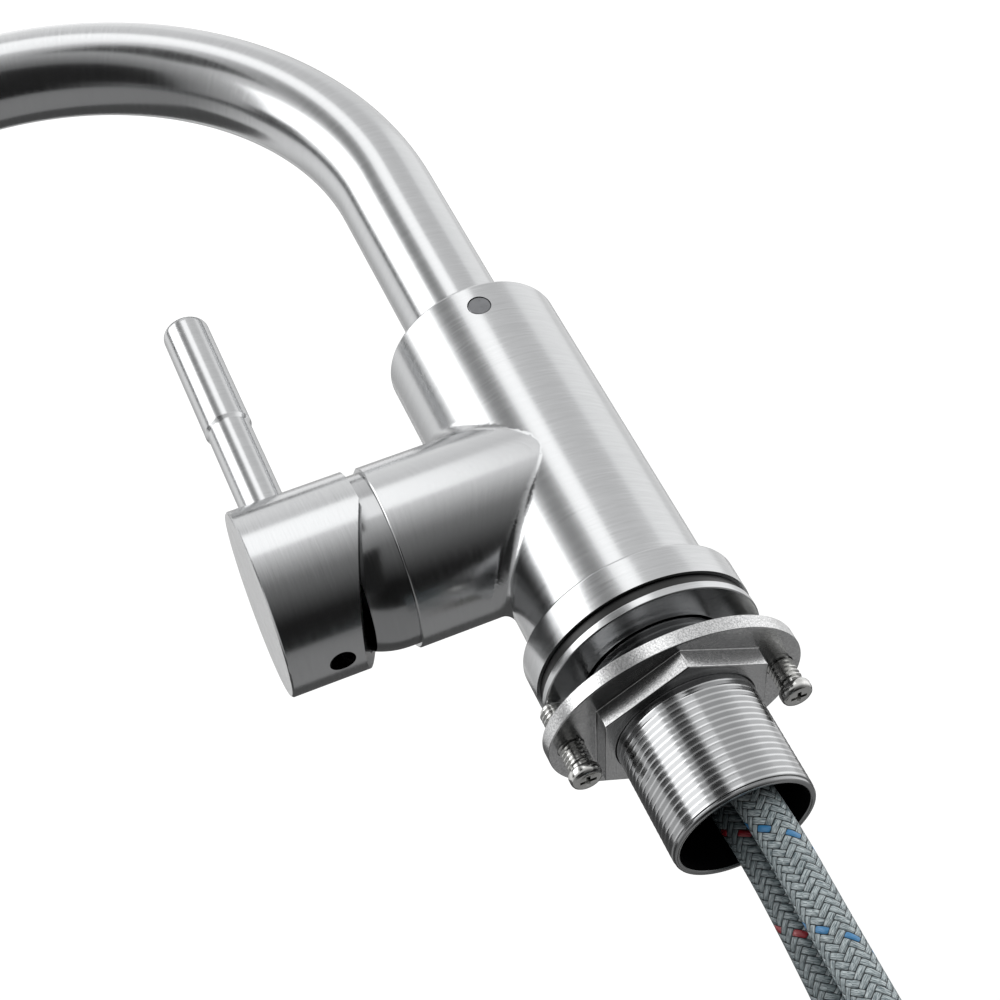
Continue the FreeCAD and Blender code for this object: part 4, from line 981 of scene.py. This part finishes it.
def crimped(low, high):
    """The outline of a crimped sleeve, from its lower to its upper end."""
    outline = []
    bands = CRIMPS * 2 + 1
    step = (high - low) / bands
    for i in range(bands):
        radius = FERRULE_RADIUS - CRIMP_SINK * (i % 2)
        outline += [(radius, low + step * (i + CRIMP_SLOPE)), (radius, low + step * (i + 1 - CRIMP_SLOPE))]
    outline[0] = (FERRULE_RADIUS, low)
    outline[-1] = (FERRULE_RADIUS, high)
    return outline


for side, route in ROUTES.items():
    x, y, low = route[-1]
    top = low + FERRULE_TALL
    profile = [(TAIL_BORE, low + BORE_MIDDLE), (TAIL_BORE, low), *crimped(low, top), (TAIL_NECK, top)]
    profile += [
        (TAIL_NECK, low + SEAT_LOW), (SEAT_RADIUS, low + SEAT_LOW), (SEAT_RADIUS, low + SEAT_TOP),
        (TAIL_BORE, low + SEAT_TOP)]
    tail_shape = turned(profile, (x, y, 0), steps=72, soft=0.12)
    dress(
        side + "_tail_ferrule", tail_shape, "faucet_body", [side + "_hose_tail"],
        nickel)

# %% Union nuts
unions = {}
for side in ROUTES:
    unions[side] = dress(
        side + "_union_hexagon", eased(side + "_union_nut"), side + "_union", [side + "_union_nut"],
        nickel, 40)
    even_shading(unions[side])

# %% Strap
RIB_SPACING = 1.2 * MM
RIB_RELIEF = 0.2 * MM
WAVE_UNIT = 0.314


def woven_strap(name, chart_colour, shadow_colour):
    """Nylon webbing: black ribs across the strap, with a dull sheen."""
    finish, shader, add = new_finish(name, {"Roughness": 0.7})
    spot = add(COORDS).outputs["Object"]
    ribs = add(
        "ShaderNodeTexWave", {"Vector": spot, "Scale": WAVE_UNIT / RIB_SPACING, "Distortion": 0.6},
        bands_direction="DIAGONAL").outputs["Fac"]
    colour = add(
        MIX, {"Factor": ribs, "A": linear(shadow_colour), "B": linear(chart_colour)}, data_type="RGBA")
    bump = add(BUMP, {"Height": ribs, "Strength": 0.7, "Distance": RIB_RELIEF})
    feed(shader, {"Base Color": colour, "Normal": bump})
    return finish


webbing = woven_strap("woven_nylon_strap", "#2a2a2c", "#0b0b0c")
strap = dress("hose_strap", merged("hose_tie"), "faucet_body", ["hose_tie"], webbing)

# %% Cords
for side in ROUTES:
    print(side, "cord declared,", round(hose_lengths[side], 3), "m")

# %% [markdown]
# The rest of the faucet is out of sight or nearly so: the cartridge, the seals, the fittings and the small
# set screws. Their solids are complete, so each is merged, shaded and given its own finish. Only the plug in
# the column shows, so it is turned anew with a fine edge.

# %% Inner finishes
# Alumina discs, lapped flat: warm white and glossy, with a faint mottle.
ceramic = grained("fired_alumina", linear("#d8d3c8"), linear("#f2efe6"), 2.0, {"Roughness": 0.12})
# Acetal resin, injection moulded: milky white and satin, with a fine spark-eroded texture.
acetal = grained(
    "moulded_white_acetal", linear("#d9d9d6"), linear("#f1f1ee"), 0.3,
    {"Subsurface Weight": 0.1, "Subsurface Scale": 1.0 * MM}, detail=2.0, gloss=(0.3, 0.45))
# Metals turned from bar: bright brass and steel, steel blackened in hot oil, and steel left oiled.
brass = plain_metal("turned_brass", "#d8b565", "#b08a3f", 0.24, 4.0)
turned_steel = plain_metal("turned_stainless", "#c6c7c8", "#a6a7a8", 0.24, 3.0)
black_steel = plain_metal("blackened_steel", "#4a4a4c", "#2b2b2d", 0.34, 1.5)
plug_steel = plain_metal("oiled_steel", "#808183", "#636466", 0.3, 1.5)
print("finishes:", [f.name for f in (ceramic, acetal, brass, turned_steel, black_steel, plug_steel)])

# %% Spout set screw
SIDEWAYS = Matrix.Rotation(math.pi / 2, 4, "Y")
PLUG_HEIGHT = 91.7
PLUG_RADIUS = 2.75
PLUG_START = 13.5
PLUG_END = 21.35
PLUG_EDGE = 0.25
PLUG_PROFILE = [
    (0, PLUG_START), (PLUG_RADIUS, PLUG_START), (PLUG_RADIUS, PLUG_END - PLUG_EDGE),
    (PLUG_RADIUS - PLUG_EDGE, PLUG_END), (0, PLUG_END),
]
plug_shape = turned(PLUG_PROFILE, (0, 0, PLUG_HEIGHT), SIDEWAYS, closed=False, steps=64)
dress("spout_plug", plug_shape, "faucet_body", ["spout_set_screw"], plug_steel)

# %% Inner pieces
INNER = {
    "brushed_stainless": (turned_steel, ["spout_sleeve", "aerator_housing", "stem_pin", "cartridge_stem"]),
    "black_steel": (black_steel, ["handle_set_screw"]),
    "turned_brass": (brass, ["inlet_manifold", "retaining_nut", "spout_socket"]),
    "nickel_plated_brass": (nickel, ["cold_inlet_fitting", "hot_inlet_fitting"]),
    "black_rubber": (rubber, ["cartridge_seals", "spout_o_rings", "aerator_gasket", "cold_union_washer",
                              "hot_union_washer"]),
    "ceramic": (ceramic, ["fixed_disc", "moving_disc"]),
    "white_acetal": (acetal, ["cartridge_base", "cartridge_housing", "turret", "disc_carrier", "swivel_bush",
                              "aerator_insert"]),
}
for slot, (finish, nodes) in INNER.items():
    for node in nodes:
        carrier = frame["nodes"][node]["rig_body"]
        dress(node + "_part", merged(node), carrier, [node], finish, 30)

# %% [markdown]
# The studio is a pale floor and a white surround that darkens towards the ground. Polished steel looks like
# what it mirrors: two soft boxes draw the bright bands on the tubes, a third lights them from the far side,
# and cards from near black to white shape what lies between. The cards show in mirrors only, and the floor
# keeps out of them, so the undersides stay dark as steel over a dark table does.

# %% Surround
# Brightness by the height of a direction, from straight down at -1 to straight up at 1.
UPWARDS = [
    (-1.0, 0.015), (-0.92, 0.015), (-0.79, 0.08), (-0.6, 0.17), (-0.33, 0.26), (-0.05, 0.56), (0.22, 0.95),
    (0.35, 1.0), (0.87, 1.08), (1.0, 1.4),
]
# Brightness by bearing in degrees from +X, for directions well above the level and for lower ones.
HIGH_AROUND = [
    (-180, 1.06), (-172, 1.06), (-166, 0.6), (-160, 0.5), (-149, 0.6), (-136, 0.78), (-124, 1.05),
    (-112, 1.15), (-100, 1.0), (-88, 0.95), (-40, 0.95), (-31, 0.38), (-19, 0.35), (-9, 0.75), (4, 0.95),
    (45, 0.84), (60, 0.85), (75, 0.95), (100, 0.95), (112, 0.88), (122, 0.84), (135, 0.88), (146, 1.06),
    (180, 1.06),
]
LOW_AROUND = [
    (-180, 1.06), (-100, 1.0), (-12, 1.0), (45, 1.1), (62, 1.7), (100, 1.7), (120, 1.06), (180, 1.06),
]
LOW_TO_HIGH = {"From Min": 0.3, "From Max": 0.55}


def band(add, value, stops):
    """A ramp of brightness over the range of its stops."""
    low = stops[0][0]
    high = stops[-1][0]
    scaled = add(RANGE, {"Value": value, "From Min": low, "From Max": high})
    ramp = add("ShaderNodeValToRGB", {"Fac": scaled})
    marks = ramp.color_ramp.elements
    while len(marks) < len(stops):
        marks.new(1.0)
    for mark, (at, light) in zip(marks, stops):
        mark.position = (at - low) / (high - low)
        mark.color = (light, light, light, 1.0)
    return ramp.outputs["Color"]


sky = bpy.data.worlds.new("studio_surround")
scene.world = sky
sky.use_nodes = True
add_sky = partial(add_node, sky.node_tree)
ray = add_sky(COORDS)
ray_axes = add_sky("ShaderNodeSeparateXYZ", [ray.outputs["Generated"]]).outputs
bearing = add_sky(MATH, [ray_axes["Y"], ray_axes["X"]], operation="ARCTAN2")
compass = add_sky(MATH, [bearing], operation="DEGREES")
lift = add_sky(RANGE, {"Value": ray_axes["Z"], **LOW_TO_HIGH})
low_light = band(add_sky, compass, LOW_AROUND)
high_light = band(add_sky, compass, HIGH_AROUND)
around = add_sky(MIX, {"Factor": lift, "A": low_light, "B": high_light}, data_type="RGBA")
upward_light = band(add_sky, ray_axes["Z"], UPWARDS)
surround = add_sky(
    MIX, {"Factor": 1.0, "A": upward_light, "B": around}, data_type="RGBA", blend_type="MULTIPLY")
feed(sky.node_tree.nodes["Background"], {"Color": surround})
scene.view_settings.view_transform = "Standard"
print("surround:", sky.name)

# %% Soft boxes
TARGET = Vector((0, -20, 60)) * MM
BOX_DISTANCE = 2.2


def soft_box(name, azimuth, elevation, width, height, light):
    """A rectangular light that faces the faucet; light is its brightness, not its power."""
    lamp = bpy.data.lights.new(name, "AREA")
    lamp.shape = "RECTANGLE"
    lamp.size = width
    lamp.size_y = height
    lamp.energy = light * math.pi * width * height
    a = math.radians(azimuth)
    e = math.radians(elevation)
    towards = Vector((math.cos(a) * math.cos(e), math.sin(a) * math.cos(e), math.sin(e)))
    box = add_object(name, lamp)
    box.location = TARGET + towards * BOX_DISTANCE
    box.rotation_mode = "QUATERNION"
    box.rotation_quaternion = towards.to_track_quat("Z", "Y")
    box.visible_camera = False
    return box


left_box = soft_box("left_box", azimuth=-62, elevation=36, width=1.25, height=1.9, light=1.9)
left_box.visible_diffuse = False
soft_box("right_box", azimuth=4, elevation=36, width=0.7, height=1.3, light=0.95)
soft_box("far_glow", azimuth=90, elevation=35, width=1.5, height=1.4, light=0.3)

# %% Floor
FLOOR_SIZE = 30.0
FLOOR_TOP = cad_box[0].z
FLOOR_GAP = 2 * MM
ROLLER_MARK = 60.0
BOARD_SHADE = 0.97
LYING = Matrix.Identity(4)


def stage_sheet(name, size, place, turn, finish):
    """A flat sheet of the studio, in metres."""
    width, height = size
    sheet = bmesh.new()
    bmesh.ops.create_grid(sheet, x_segments=1, y_segments=1, size=0.5)
    bmesh.ops.scale(sheet, vec=(width, height, 1.0), verts=sheet.verts)
    bmesh.ops.transform(sheet, matrix=Matrix.Translation(place) @ turn, verts=sheet.verts)
    mesh = mesh_of(name, sheet)
    mesh.materials.append(finish)
    panel = add_object(name, mesh)
    return panel


def painted_board(name, chart_colour):
    """Matt emulsion on board: even, with a slight roller texture."""
    paint = linear(chart_colour)
    shade = (*[c * BOARD_SHADE for c in paint[:3]], 1.0)
    return grained(
        name, shade, paint, ROLLER_MARK, {"Roughness": 0.9, "Specular IOR Level": 0.0}, detail=2.0)


floor = stage_sheet(
    "pale_floor", (FLOOR_SIZE, FLOOR_SIZE), (0, 0, FLOOR_TOP - FLOOR_GAP), LYING,
    painted_board("pale_emulsion", "#e9e8e5"))
floor.visible_glossy = False
floor.visible_diffuse = False
print("stage:", floor.name)

# %% Cards
UPRIGHT = Matrix.Rotation(math.pi / 2, 4, "Y") @ Matrix.Rotation(math.pi / 2, 4, "Z")
DARK_CARD_TALL = 1.08
PALE_CARD_TURN = Matrix.Rotation(math.radians(-15), 4, "Z")
SIDE_CARD_OUT = 1.6
SIDE_CARD_HEIGHT = 0.55
SIDE_CARD_TALL = 0.58
slate = painted_board("slate_emulsion", "#4a4a4a")


def side_card(name, azimuth, width):
    """A slate-grey card that stands across a bearing from the faucet, in degrees."""
    swing = Matrix.Rotation(math.radians(azimuth), 4, "Z")
    place = swing @ Vector((SIDE_CARD_OUT, 0, SIDE_CARD_HEIGHT))
    return stage_sheet(name, (width, SIDE_CARD_TALL), place, swing @ UPRIGHT, slate)


cards = [
    stage_sheet("dark_card", (4.0, DARK_CARD_TALL), (-1.3, 0.0, FLOOR_TOP + DARK_CARD_TALL / 2), UPRIGHT,
                painted_board("dark_emulsion", "#6c6c6c")),
    stage_sheet("table_card", (1.26, 3.0), (-0.69, 0.0, FLOOR_TOP), LYING,
                painted_board("grey_emulsion", "#9a9a9a")),
    stage_sheet("near_card", (0.9, 1.08), (0.55, -0.66, FLOOR_TOP), LYING,
                painted_board("black_emulsion", "#2c2c2c")),
    side_card("slim_card", azimuth=-89, width=0.6),
    side_card("mid_card", azimuth=-22, width=0.62),
    stage_sheet("pale_card", (1.4, 3.2), (-1.45, 0.39, 1.4), PALE_CARD_TURN @ UPRIGHT,
                painted_board("white_emulsion", "#f4f4f4")),
]
for card in cards:
    card.visible_camera = False
    card.visible_diffuse = False
    card.visible_shadow = False
print("cards:", [card.name for card in cards])

# %% [markdown]
# Last, the size of the solids is printed.

# %% Size of the solids
print("cad box ", [[round(c, 4) for c in corner] for corner in cad_box])
